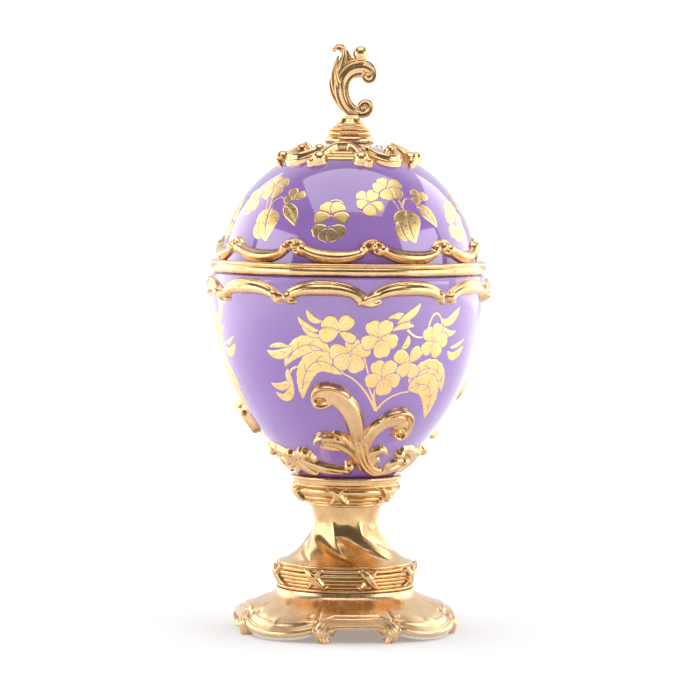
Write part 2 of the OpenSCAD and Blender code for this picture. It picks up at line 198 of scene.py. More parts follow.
def moulded(z0, z1, base, rolls, step=0.1):
    """An outline of [radius, height]: a base with round rolls [radius at crest, height, roll radius]."""
    z = np.linspace(z0, z1, int((z1 - z0) / step) + 2)
    base = np.array(base, float)
    r = np.interp(z, base[:, 1], base[:, 0])
    for crest, zc, rr in rolls:
        inside = np.abs(z - zc) < rr
        bulge = crest - rr + np.sqrt(np.maximum(rr * rr - (z - zc) ** 2, 0))
        r = np.where(inside, np.maximum(r, bulge), r)
    return np.stack([r, z], 1)


def sweep(path, normals, width, height, section):
    """A closed bar along a path: the section's [across, out] points are scaled in every ring."""
    path, normals = np.array(path, float), unit(np.array(normals, float))
    along = unit(np.gradient(path, axis=0))
    across = unit(np.cross(along, normals))
    normals = np.cross(across, along)
    section = np.array(section, float)
    w, h = [np.broadcast_to(np.asarray(v, float), len(path))[:, None, None] / 2 for v in (width, height)]
    rings = (path[:, None] + across[:, None] * section[None, :, :1] * w
             + normals[:, None] * section[None, :, 1:] * h)
    rows, cols = rings.shape[:2]
    verts = np.concatenate([rings.reshape(-1, 3), path[:1], path[-1:]])
    n = rows * cols
    return verts, [grid_faces(rows, cols, False, True)] + fans(n, n - cols, cols)


def ball(centre, r, squash=(1, 1, 1), rows=14, cols=24):
    a = np.linspace(0, math.pi, rows + 1)
    verts, faces = turned(np.sin(a) * r, np.cos(a) * r, cols)
    return verts * np.array(squash) + np.array(centre), faces


def joined(*parts):
    verts, faces, n = [], [], 0
    for v, fs in parts:
        verts.append(v)
        faces += [np.asarray(f) + n for f in fs]
        n += len(v)
    return np.concatenate(verts), faces


def spun(verts, degrees):
    """Points turned about the axis, from the front towards +X."""
    a = math.radians(degrees)
    c, s = math.cos(a), math.sin(a)
    return verts @ np.array([[c, s, 0], [-s, c, 0], [0, 0, 1]])


# ---- Turned surfaces and the relief on them ----

class Surface:
    """A turned outer surface, from an outline of [radius, height] from the bottom up."""

    def __init__(self, outline):
        self.r, self.z = np.array(outline, float).T
        self.s = np.concatenate([[0], np.cumsum(np.hypot(np.diff(self.r), np.diff(self.z)))])

    def up(self, z):
        return np.interp(z, self.z, self.s)

    def radius(self, z):
        return np.interp(z, self.z, self.r)

    def point(self, phi, s):
        return around(np.interp(s, self.s, self.r), np.interp(s, self.s, self.z), phi)

    def normal(self, phi, s, d=0.3):
        dr = np.interp(s + d, self.s, self.r) - np.interp(s - d, self.s, self.r)
        dz = np.interp(s + d, self.s, self.z) - np.interp(s - d, self.s, self.z)
        return unit(around(dz, -dr, phi))

    def at(self, path):
        path = np.array(path, float)
        return self.point(path[..., 0], self.up(path[..., 1]))

    def tangents(self, phi, z):
        n = self.normal(np.array(phi), self.up(z))
        a = math.radians(phi)
        u = np.array([math.cos(a), math.sin(a), 0])
        return self.at([phi, z]), u, np.cross(n, u)


class Relief:
    """Shapes raised on a patch of a turned surface, as one height at each point of a fine grid."""

    def __init__(self, surface, phis, zs, step=0.3, floor=-0.75):
        self.surface, self.floor = surface, floor
        s0, s1 = surface.up(zs[0]), surface.up(zs[1])
        span = phis[1] - phis[0]
        self.ring = abs(span - 360) < 1e-6
        r = max(surface.radius(zs[0]), surface.radius(zs[1]))
        cols = int(math.radians(span) * r / step)
        rows = int((s1 - s0) / step) + 1
        phi = phis[0] + span * np.arange(cols) / (cols if self.ring else cols - 1)
        self.phi, self.s = np.meshgrid(phi, np.linspace(s0, s1, rows))
        self.p = surface.point(self.phi, self.s)
        self.n = surface.normal(self.phi, self.s)
        self.h = np.full(self.phi.shape, floor)
        self.ink = np.zeros(self.phi.shape)

    def near(self, pts, reach):
        lo, hi = pts.min(0) - reach, pts.max(0) + reach
        return np.nonzero(((self.p > lo) & (self.p < hi)).all(-1))

    def lateral(self, path, reach):
        """For the grid points near a path of [phi, z]: side distance, share along it, and its length."""
        c = self.surface.at(path)
        idx = self.near(c, reach)
        p = self.p[idx][:, None]
        a, d = c[:-1][None], np.diff(c, axis=0)[None]
        t = np.clip(((p - a) * d).sum(-1) / np.maximum((d * d).sum(-1), 1e-12), 0, 1)
        gap = p - a - d * t[..., None]
        dist = np.linalg.norm(gap, axis=-1)
        k = dist.argmin(1)
        rows = np.arange(len(k))
        length = np.concatenate([[0], np.cumsum(np.linalg.norm(d[0], axis=-1))])
        along = (length[k] + t[rows, k] * np.linalg.norm(d[0, k], axis=-1)) / length[-1]
        left = np.cross(self.n[idx], d[0, k])
        side = np.sign((gap[rows, k] * left).sum(-1))
        return idx, dist[rows, k] * np.where(side == 0, 1, side), along, length[-1]

    def put(self, idx, h):
        self.h[idx] = np.maximum(self.h[idx], h)

    def stroke(self, path, width, height, section, lobes=0, lobe_depth=0.0, lift=0.0):
        """A moulded band along a path. width and height are (root, belly, tip) or numbers."""
        reach = np.max(width) / 2 + 1.2
        idx, d, t, length = self.lateral(path, reach)

        def swell(v):
            if np.ndim(v) == 0:
                return v + 0 * t
            return v[0] + (v[2] - v[0]) * t + (v[1] - (v[0] + v[2]) / 2) * np.sin(math.pi * t)
        w = swell(width) / 2
        if lobes:
            w = w * (1 + lobe_depth * (np.abs(np.sin(math.pi * lobes * t)) - 0.6) * (d > 0))
        q = d / w
        h = lift + swell(height) * section(np.clip(q, -1, 1))
        h = np.where(np.abs(q) < 1, h, -1.2 * (np.abs(d) - w))
        self.put(idx, h)

    def bead(self, phi, z, r, rise=0.0, tall=1.0):
        c = self.surface.at([[phi, z]])
        idx = self.near(c, r + 1)
        d = np.linalg.norm(self.p[idx] - c[0], axis=-1)
        h = np.where(d < r, rise + tall * np.sqrt(np.maximum(r * r - d * d, 0)), -1.2 * (d - r))
        self.put(idx, h)

    def dent(self, phi, z, r, depth):
        c = self.surface.at([[phi, z]])
        idx = self.near(c, r)
        d = np.linalg.norm(self.p[idx] - c[0], axis=-1)
        self.h[idx] -= depth * np.maximum(1 - (d / r) ** 2, 0)

    def soften(self, times=1):
        for _ in range(times):
            for axis in (0, 1):
                wrap = axis == 1 and self.ring
                a = np.concatenate([np.take(self.h, [-1 if wrap else 0], axis), self.h], axis)
                a = np.concatenate([a, np.take(self.h, [0 if wrap else -1], axis)], axis)
                n = self.h.shape[axis]
                pick = [np.take(a, range(k, k + n), axis) for k in range(3)]
                self.h = 0.25 * pick[0] + 0.5 * pick[1] + 0.25 * pick[2]

    def solid(self, keep=-0.45, under=0.2):
        """The closed mesh of everything that stands above keep, with its back sunk in the surface."""
        rows, cols = self.h.shape
        tall = self.h > keep
        wide = np.concatenate([tall, tall[:, :1]], 1) if self.ring else tall
        cell = wide[:-1, :-1] | wide[1:, :-1] | wide[:-1, 1:] | wide[1:, 1:]
        for _ in range(8):
            e = np.concatenate([cell, cell[:, :1]], 1) if self.ring else cell
            a, b, c, d = e[:-1, :-1], e[:-1, 1:], e[1:, :-1], e[1:, 1:]
            bad1, bad2 = a & d & ~b & ~c, b & c & ~a & ~d
            if not (bad1 | bad2).any():
                break
            i, j = np.nonzero(bad1)
            cell[i, (j + 1) % cell.shape[1]] = True
            i, j = np.nonzero(bad2)
            cell[i, j] = True
        i, j = np.nonzero(cell)
        m = (j + 1) % cols
        quads = np.stack([i * cols + j, i * cols + m, (i + 1) * cols + m, (i + 1) * cols + j], 1)
        used = np.unique(quads)
        lookup = np.full(rows * cols, -1)
        lookup[used] = np.arange(len(used))
        quads = lookup[quads]
        p, n, h = [a.reshape(rows * cols, -1)[used] for a in (self.p, self.n, self.h[..., None])]
        face = p + n * np.maximum(h, keep)
        back = p + n * (keep - under)
        k = len(used)
        edges = np.concatenate([quads[:, [a, (a + 1) % 4]] for a in range(4)])
        code = edges[:, 0].astype(np.int64) * k + edges[:, 1]
        other = edges[:, 1].astype(np.int64) * k + edges[:, 0]
        rim = edges[~np.isin(code, other)]
        side = np.stack([rim[:, 1], rim[:, 0], rim[:, 0] + k, rim[:, 1] + k], 1)
        marks = {"rise": np.concatenate([h[:, 0], 0 * h[:, 0]]),
                 "ink": np.tile(self.ink.reshape(-1)[used], 2)}
        return np.concatenate([face, back]), [quads, quads[:, ::-1] + k, side], marks

    def piece(self, name, body, finish, replaces=(), turn=0.0, **kw):
        verts, faces, marks = self.solid(**kw)
        return add(name, spun(verts, turn), faces, body, finish, replaces, marks, sharp=70)


class Transfer(Relief):
    """A flat gilt transfer: the signed distance inside its shapes, laid on the glaze as a thin film."""

    def __init__(self, surface, phis, zs, step=0.22):
        super().__init__(surface, phis, zs, step, -1.0)

    def over(self, idx, inside, gap=0.24):
        """Lays a shape over what is there, with a thin line of bare glaze around it."""
        self.h[idx] = np.maximum(np.minimum(self.h[idx], -inside - gap), inside)

    def petal(self, phi, z, angle, length, width, start=0.45):
        c, u, v = self.surface.tangents(phi, z)
        a = math.radians(angle)
        axis, cross = u * math.cos(a) + v * math.sin(a), -u * math.sin(a) + v * math.cos(a)
        idx = self.near(c[None], length + 1.5)
        rel = self.p[idx] - c
        x = 2 * ((rel @ axis) - start) / length - 1
        y = (rel @ cross) / (width / 2 * (1 + 0.28 * np.clip(x, -1, 1)))
        rad = np.sqrt(x * x + y * y)
        inside = (1 - rad) * min(length, width) / 2
        inside -= 0.5 * np.maximum(0, 1 - np.abs(y) * 3.2) * ease(x, 0.75, 1.1)
        self.over(idx, inside)
        spoke = np.abs(np.sin(6.5 * np.arctan2(rel @ cross, np.maximum(rel @ axis, 0.05))))
        vein = (1 - ease(spoke, 0, 0.4)) * (1 - ease(x, -0.5, 0.3)) * (inside > 0)
        self.ink[idx] = np.where(inside > 0, vein, self.ink[idx])

    def flower(self, phi, z, petals, scale=1.0):
        for angle, length, width in petals:
            self.petal(phi, z, angle, 1.18 * length * scale, 1.26 * width * scale)
        c = self.surface.at([[phi, z]])
        idx = self.near(c, 0.6)
        d = np.linalg.norm(self.p[idx] - c[0], axis=-1)
        self.h[idx] = np.maximum(self.h[idx], 0.32 * scale - d)

    def leaf(self, path, width, veins=7, serrate=0.12, rib=True, blunt=0.75):
        idx, d, t, length = self.lateral(path, width)
        w = width / 2 * np.sin(math.pi * np.clip(t, 0, 1) ** blunt) ** 0.8
        w = w * (1 + serrate * (((t * veins * 2) % 1) - 0.5) * (np.abs(d) > 0.2))
        end = np.where((t <= 0) | (t >= 1), np.abs(d), 0)
        inside = np.minimum(w - np.abs(d), 1.0) - end
        self.over(idx, inside)
        if rib:
            cut = np.where(t < 0.86, np.abs(d) - 0.13, 1)
            self.h[idx] = np.where(inside > 0, np.minimum(self.h[idx], cut), self.h[idx])
        line = np.abs(((t * veins + 0.7 * np.abs(d) / np.maximum(w, 0.2)) % 1) - 0.5)
        vein = ease(line, 0.42, 0.5) * (inside > 0.15) * (np.abs(d) < 0.55 * w)
        self.ink[idx] = np.where(inside > 0, vein, self.ink[idx])

    def stem(self, path, width=0.55):
        idx, d, t, length = self.lateral(path, 1.2)
        inside = width / 2 * (1.15 - 0.4 * t) - np.abs(d)
        self.h[idx] = np.maximum(self.h[idx], inside)

    def bud(self, path, width):
        self.leaf(path, width, veins=3, serrate=0, rib=False, blunt=1.0)

    def film(self, thick=0.07):
        self.h = np.clip(0.4 * self.h, -0.16, thick)
        return self


# ---- Materials ----

class Mat:
    """A node material with a Principled shader."""

    def __init__(self, name, **inputs):
        self.material = bpy.data.materials.new(name)
        self.material.use_nodes = True
        self.tree = self.material.node_tree
        self.bsdf = self.tree.nodes["Principled BSDF"]
        for key, value in inputs.items():
            self.bsdf.inputs[key.replace("_", " ")].default_value = value
        self.place = self.node("ShaderNodeTexCoord").outputs["Object"]

    def node(self, kind, **inputs):
        n = self.tree.nodes.new(kind)
        for key, value in inputs.items():
            socket = n.inputs[int(key[1:]) if key[0] == "i" and key[1:].isdigit() else key.replace("_", " ")]
            self.feed(socket, value)
        return n

    def feed(self, socket, value):
        """Links a socket to another node's output, or sets it to a constant."""
        if hasattr(value, "is_linked"):
            self.tree.links.new(value, socket)
        else:
            socket.default_value = value

    def noise(self, size, detail=3.0, rough=0.5, stretch=(1, 1, 1)):
        """Noise whose features are about size millimetres."""
        m = self.node("ShaderNodeMapping", Vector=self.place, Scale=tuple(1000 / size * s for s in stretch))
        return self.node("ShaderNodeTexNoise", Vector=m.outputs[0], Scale=1.0, Detail=detail,
                         Roughness=rough).outputs["Fac"]

    def ramp(self, fac, *stops):
        n = self.node("ShaderNodeValToRGB", Fac=fac)
        e = n.color_ramp.elements
        while len(e) < len(stops):
            e.new(0.5)
        for el, (pos, col) in zip(e, stops):
            el.position = pos
            el.color = (col, col, col, 1) if np.ndim(col) == 0 else tuple(col) + (1,)
        return n.outputs[0]

    def mix(self, fac, a, b):
        n = self.tree.nodes.new("ShaderNodeMix")
        n.data_type = "RGBA"
        for socket, value in ((n.inputs[0], fac), (n.inputs[6], a), (n.inputs[7], b)):
            self.feed(socket, value + (1,) if isinstance(value, tuple) else value)
        return n.outputs[2]

    def math(self, op, a, b=0.0):
        n = self.tree.nodes.new("ShaderNodeMath")
        n.operation = op
        for socket, value in zip(n.inputs, (a, b)):
            self.feed(socket, value)
        return n.outputs[0]

    def mark(self, name):
        n = self.node("ShaderNodeAttribute")
        n.attribute_name = name
        return n.outputs["Fac"]

    def bump(self, *layers):
        """Bumps laid one on another: each [height, strength, distance in millimetres]."""
        normal = None
        for height, strength, distance in layers:
            n = self.node("ShaderNodeBump", Height=height, Strength=strength, Distance=distance * MM)
            if normal:
                self.tree.links.new(normal, n.inputs["Normal"])
            normal = n.outputs[0]
        self.set("Normal", normal)

    def set(self, socket, output):
        self.tree.links.new(output, self.bsdf.inputs[socket])
        return self


def violet_glaze():
    """The violet glaze outside, and the white glaze where the porcelain is marked bare."""
    m = Mat("violet_glaze", IOR=1.6, Coat_Weight=0.8, Coat_Roughness=0.03, Coat_IOR=1.5)
    wash = m.noise(26, 2)
    fine = m.noise(1.1, 4, 0.6)
    colour = m.mix(m.ramp(wash, (0.3, 0), (0.7, 1)), (0.270, 0.138, 0.440), (0.325, 0.178, 0.500))
    speck = m.ramp(m.noise(0.55, 2, 0.6), (0.70, 0), (0.78, 1))
    colour = m.mix(m.math("MULTIPLY", speck, 0.28), colour, (0.60, 0.47, 0.74))
    colour = m.mix(m.math("MULTIPLY", fine, 0.12), colour, (0.22, 0.10, 0.40))
    white = m.mix(m.noise(6, 4), (0.84, 0.81, 0.77), (0.76, 0.73, 0.69))
    m.set("Base Color", m.mix(m.mark("bare"), colour, white))
    m.set("Roughness", m.ramp(m.noise(9, 4), (0.3, 0.055), (0.75, 0.115)))
    m.bump((m.noise(7, 2), 0.05, 0.25), (m.noise(1.6, 2), 0.03, 0.05))
    return m.material


def gilding(name, wear=0.0, tone=0.0, rough=0.15, red_share=0.45):
    """Burnished gold on porcelain: warm and cool patches, fine rubbing, and wear that bares the glaze."""
    m = Mat(name, Metallic=1.0, IOR=1.5, Coat_Weight=0.3, Coat_Roughness=0.05)
    patch = m.ramp(m.noise(5.5, 4, 0.55), (0.32, 0), (0.70, 1))
    colour = m.mix(patch, (0.66 + tone, 0.405 + tone, 0.185 + tone),
                   (0.80 + tone, 0.545 + tone, 0.285 + tone))
    red = m.ramp(m.noise(2.2, 5, 0.6), (0.55, 0), (0.80, 1))
    colour = m.mix(m.math("MULTIPLY", red, red_share), colour, (0.62, 0.30, 0.13))
    bare = m.ramp(m.noise(1.7, 5, 0.65), (0.70 - 0.12 * wear, 0), (0.76 - 0.12 * wear, 1))
    bare = m.math("MAXIMUM", m.math("MULTIPLY", bare, min(1.0, wear)), m.mark("bare"))
    m.set("Base Color", m.mix(bare, colour, (0.82, 0.78, 0.73)))
    m.set("Metallic", m.math("SUBTRACT", 1.0, bare))
    scuff = m.noise(0.8, 5, 0.7)
    m.set("Roughness", m.math("ADD", m.ramp(m.noise(3.0, 4), (0.3, rough), (0.75, rough + 0.13)),
                              m.math("MULTIPLY", scuff, 0.07)))
    m.bump((m.noise(2.6, 3), 0.12, 0.22), (m.noise(0.6, 3), 0.06, 0.05))
    return m.material


def transfer_gold():
    """The flat gilding of the flower transfers: finely grained, with darker printed veins."""
    m = Mat("transfer_gold", Metallic=1.0, IOR=1.5)
    colour = m.mix(m.ramp(m.noise(4, 3), (0.3, 0), (0.7, 1)), (0.90, 0.60, 0.235), (0.96, 0.70, 0.33))
    grain = m.ramp(m.noise(0.35, 3, 0.6), (0.35, 0), (0.75, 1))
    colour = m.mix(m.math("MULTIPLY", grain, 0.25), colour, (0.70, 0.42, 0.16))
    m.set("Base Color", m.mix(m.math("MULTIPLY", m.mark("ink"), 0.75), colour, (0.36, 0.17, 0.10)))
    m.set("Roughness", m.ramp(m.noise(0.7, 4), (0.3, 0.24), (0.75, 0.42)))
    m.bump((m.noise(0.4, 3), 0.1, 0.03))
    return m.material


def brass_metal():
    m = Mat("turned_brass", Metallic=1.0)
    m.set("Base Color", m.mix(m.noise(2, 4), (0.72, 0.50, 0.20), (0.55, 0.36, 0.14)))
    m.set("Roughness", m.ramp(m.noise(1, 4), (0.3, 0.22), (0.7, 0.42)))
    m.bump((m.noise(0.8, 2, 0.5, (0.15, 0.15, 4)), 0.12, 0.04))
    return m.material


def green_felt():
    m = Mat("green_felt", Roughness=0.95, Sheen_Weight=0.4)
    fibre = m.noise(0.25, 5, 0.7)
    m.set("Base Color", m.mix(fibre, (0.05, 0.13, 0.07), (0.11, 0.22, 0.12)))
    m.bump((fibre, 0.6, 0.15))
    return m.material


VIOLET = ("violet_glaze", violet_glaze())
GILT = ("gilt_porcelain", gilding("gilt_relief", wear=0.15))
GILT_FOOT = ("gilt_porcelain", gilding("gilt_foot", wear=0.6, tone=0.04, rough=0.2, red_share=0.2))
GILT_STEM = ("gilt_porcelain", gilding("gilt_pedestal", wear=0.1, tone=-0.03, rough=0.14, red_share=0.3))
TRANSFER = ("gilt_porcelain", transfer_gold())
BRASS = brass_metal()
FELT = green_felt()

# ---- Lid ----

angle = math.acos(SOCLE_FOOT_R / DOME_R)
arc = np.linspace(0, angle, 120)
DOME = Surface(np.concatenate([[[DOME_R, LID_Z]], np.stack([DOME_R * np.cos(arc),
                                                            DOME_Z + DOME_H * np.sin(arc)], 1)]))


def lid_shell():
    seat_r = DOME_R + 1.2
    flange_r = RIM_R - WALL - 0.5
    flange_z = low("lid_shell")[2]
    inner_r, inner_h = DOME_R - WALL, DOME_H - WALL
    t = np.linspace(0, math.pi / 2, 60)
    inner = np.stack([inner_r * np.cos(t), DOME_Z + inner_h * np.sin(t)], 1)
    outer = np.stack([DOME.r[::-1], DOME.z[::-1]], 1)
    outer = outer[outer[:, 1] > BAND_TOP + 0.1]
    edge = [[DOME.radius(BAND_TOP), BAND_TOP], [seat_r, BAND_TOP], [seat_r, LID_Z + 0.3],
            [seat_r - 0.3, LID_Z],
            [flange_r, LID_Z], [flange_r, flange_z + 0.6], [flange_r - 0.6, flange_z],
            [inner_r + 0.5, flange_z],
            [inner_r, flange_z + 0.5]]
    outline = np.concatenate([[[0, CROWN_Z]], outer, edge, inner, [[0, DOME_Z + inner_h]]])

    def inside(r, z):
        up = np.clip(z - DOME_Z, 0, None)
        return ((r / (DOME_R - 1.5)) ** 2 + (up / (DOME_H - 1.5)) ** 2 < 1) | (z < LID_Z - 0.01)
    lathe("lid_porcelain", outline, "lid", VIOLET, ["lid_shell"], 320, bare=inside)


def lid_band():
    """The gilt band: a broad roll under a thin one."""
    bore = DOME_R + 1.2
    h = BAND_TOP - LID_Z
    face = moulded(LID_Z, BAND_TOP, [[BAND_R - 1.0, LID_Z], [BAND_R - 1.1, BAND_TOP - 1.2],
                                     [BAND_R - 1.3, BAND_TOP]],
                   [[BAND_R, LID_Z + 0.36 * h, 0.40 * h], [BAND_R - 0.25, LID_Z + 0.83 * h, 0.155 * h]])
    outline = np.concatenate([[[bore, LID_Z]], face, [[bore, BAND_TOP]]])
    lathe("lid_band", outline, "lid", GILT, ["lid_rim_band"], 320, 60)


ROLL = profile((-1, 0), (-0.94, 0.42), (-0.84, 0.60), (-0.72, 0.56), (-0.62, 0.42), (-0.56, 0.50),
               (-0.4, 0.80),
               (-0.15, 0.98), (0.1, 1), (0.35, 0.94), (0.6, 0.76), (0.78, 0.52), (0.84, 0.40), (0.90, 0.46),
               (0.96, 0.3),
               (1, 0))
ROUND = profile(*[(x, (1 - x * x) ** 0.62) for x in np.linspace(-1, 1, 21)])
SCROLL = profile(*[(x, (1 - abs(x) ** 3.0) ** 0.8 * (0.74 + 0.26 * min(1, abs(x / 0.62)) ** 2))
                   for x in np.linspace(-1, 1, 31)])
LEAF = profile(*[(x, (1 - x * x) ** 0.6 * (1 - 0.30 * math.exp(-(x / 0.14) ** 2))) for x in np.linspace(-1,
                                                                                                        1,
                                                                                                        41)])
SWAGS = 10


def swag(first, k, knot_z, mid_z, power, gap, n=28):
    t = np.linspace(0, 1, n)
    phi = first + 360 / SWAGS * k + gap + (360 / SWAGS - 2 * gap) * t
    return np.stack([phi, knot_z + (mid_z - knot_z) * (1 - np.abs(2 * t - 1) ** power)], 1)


def lid_garland():
    """Ten hanging rolls, each with a blunt end beside a pair of beads under a small cap."""
    z = DOME_Z
    r = Relief(DOME, (0, 360), (z + 0.6, z + 10.5), 0.3)
    for k in range(SWAGS):
        phi = 9.2 + 36 * k
        t = np.linspace(0, 1, 30)
        roll = np.stack([phi + 6.4 + (36 - 10.2) * t,
                         z + 6.0 - 1.0 * t - 1.9 * (1 - np.abs(2 * t - 1) ** 2.2)], 1)
        r.stroke(roll, (3.3, 4.3, 2.8), (2.1, 2.2, 1.6), ROLL)
        r.stroke(offsets([[-5, 4.5], [-2.5, 4.8], [-1.2, 5.4], [-0.4, 6.4]], 10, (phi, z)),
                 (1.6, 1.5, 1.0), 1.4, ROUND)
        r.stroke(offsets([[7, 4.4], [4, 4.6], [2, 5.2], [1.0, 6.2]], 10, (phi, z)),
                 (1.2, 1.3, 0.9), 1.3, ROUND)
        r.stroke(offsets([[-3.4, 6.9], [-1.5, 9.2], [3.5, 9.4], [6.6, 7.4]], 14, (phi, z)),
                 (1.0, 1.5, 1.0), (0.9, 1.3, 1.1), ROUND)
        r.bead(phi + 6.0, z + 6.1, 1.6, 0.9)
        r.bead(phi + 2.2, z + 6.9, 1.15, 1.0)
        r.bead(phi - 2.6, z + 6.5, 1.25, 0.9)
    r.soften()
    r.piece("lid_garland", "lid", GILT, ["lid_rim_garland"])


def crown_garland():
    """Four hollow arches with a bulb at each foot, and between them a roll hung from two beads."""
    z = CROWN_Z
    r = Relief(DOME, (0, 360), (z - 9.0, z - 0.2), 0.22)
    t = np.linspace(-1, 1, 40)
    for k in range(4):
        c = -8 + 90 * k
        for low_z, reach in ((2.3, 16), (3.2, 18), (4.1, 18)):
            r.stroke(np.stack([c + reach * t, z - low_z + 0 * t], 1), 2.6, 0.6, ROUND)
        rise = 1 - np.abs(t) ** 3.6
        r.stroke(np.stack([c + 20 * t, z - 4.4 + 3.0 * rise], 1), (2.6, 2.0, 2.6), (2.4, 2.8, 2.4), ROUND)
        for s in (-1, 1):
            r.bead(c + s * 18, z - 5.0, 2.4, 1.0)
            r.bead(c + s * 23.5, z - 5.9, 1.4, 0.9)
        m = c + 45
        drop = 1 - np.abs(t) ** 2.2
        r.stroke(np.stack([m + 17 * t, z - 2.6 - 2.7 * drop], 1), (3.2, 4.4, 3.2), (2.4, 2.9, 2.4), ROLL)
        for s in (-1, 1):
            r.bead(m + s * 17, z - 2.4, 1.9, 1.1)
    r.soften()
    r.piece("crown_garland", "lid", GILT, ["crown_garland"])


# ---- Bowl ----

BOWL = Surface(curve([[SEAT_R, 0], [0.726 * RIM_R, 0.26 * BOWL_H], [0.984 * RIM_R, 0.468 * BOWL_H],
                      [RIM_R, BOWL_H]], 300)
               + [0, BOWL_Z])


def bowl_shell():
    o = np.stack([BOWL.r, BOWL.z], 1)[:-1:2]
    n = unit(np.stack([-np.gradient(o[:, 1]), np.gradient(o[:, 0])], 1))
    inner = o + n * WALL
    floor_z, straight = BOWL_Z + 4.2, RIM_Z - 7.0
    inner = inner[(inner[:, 1] > floor_z + 0.6) & (inner[:, 1] < straight)]
    bore_r = RIM_R - WALL
    outline = np.concatenate([[[BORE_R, BOWL_Z], [SEAT_R - 0.3, BOWL_Z]], o[1:],
                              [[RIM_R, RIM_Z - 0.5], [RIM_R - 0.5, RIM_Z], [bore_r + 0.5, RIM_Z],
                               [bore_r, RIM_Z - 0.5], [bore_r, straight]],
                              inner[::-1], [[inner[0, 0] - 0.8, floor_z + 0.1], [inner[0, 0] - 1.6, floor_z],
                                            [BORE_R, floor_z]]])
    lathe("bowl_porcelain", outline, "box", VIOLET, ["bowl_shell"], 320,
          bare=lambda r, z: (r < BOWL.radius(z) - 1.2) & (z > BOWL_Z + 1))


ARCH = profile((-1, 0), (-0.9, 0.45), (-0.7, 0.78), (-0.4, 0.97), (-0.1, 1), (0.2, 0.92), (0.45, 0.7),
               (0.56, 0.5),
               (0.62, 0.46), (0.72, 0.74), (0.82, 0.8), (0.92, 0.6), (1, 0))


def bowl_garland():
    """Ten arched mouldings that end in beads and short tails; two of the joints are crossed leaves."""
    z = RIM_Z
    r = Relief(BOWL, (0, 360), (z - 10.5, z - 0.4), 0.3)
    first = 8.0
    for k in range(SWAGS):
        phi = first + 36 * k
        r.stroke(swag(first, k, z - 6.2, z - 3.3, 2.8, 2.2), (3.0, 4.7, 3.0), (1.6, 2.1, 1.6), ARCH)
        if k % 5 == 0:
            r.stroke(offsets([[-6, -5.6], [-3, -7.2], [1, -8.8], [5, -7.6]], 16, (phi, z)),
                     (1.6, 2.8, 1.4), (1.5, 1.9, 1.4), LEAF)
            r.stroke(offsets([[6, -5.2], [2, -5.6], [-1, -7.0], [-3.6, -8.2]], 16, (phi, z)),
                     (1.6, 2.4, 1.2), (1.8, 2.4, 1.6), LEAF)
        else:
            r.stroke(offsets([[-3.8, -6.0], [-3, -7.2], [-2, -7.8], [-0.6, -8.2]], 12, (phi, z)),
                     (2.2, 1.9, 0.9), (1.8, 1.6, 1.1), ROUND)
            r.stroke(offsets([[2.6, -6.4], [2.8, -7.4], [4, -7.9], [6.0, -7.6]], 12, (phi, z)),
                     (2.2, 1.9, 0.9), (1.8, 1.6, 1.1), ROUND)
            r.bead(phi - 3.6, z - 5.5, 1.35, 1.0)
            r.bead(phi + 2.6, z - 6.2, 1.5, 1.0)
    r.soften()
    r.piece("bowl_garland", "box", GILT, ["bowl_rim_garland"])


SPRAY_PHI = 13.0


def limbs(r, z):
    """A function that raises moulded limbs on a relief, along curves whose heights are measured from z."""
    def limb(points, width, height, section=LEAF):
        r.stroke(offsets(points, 40, (0, z)), width, height, section)
    return limb


def three_pieces(r, name, node):
    """The same relief three times round the bowl."""
    for k in range(3):
        r.piece("%s_%d" % (name, k + 1), "box", GILT, ["%s_%d" % (node, k + 1)],
                SPRAY_PHI + ROUND_STEP * k)


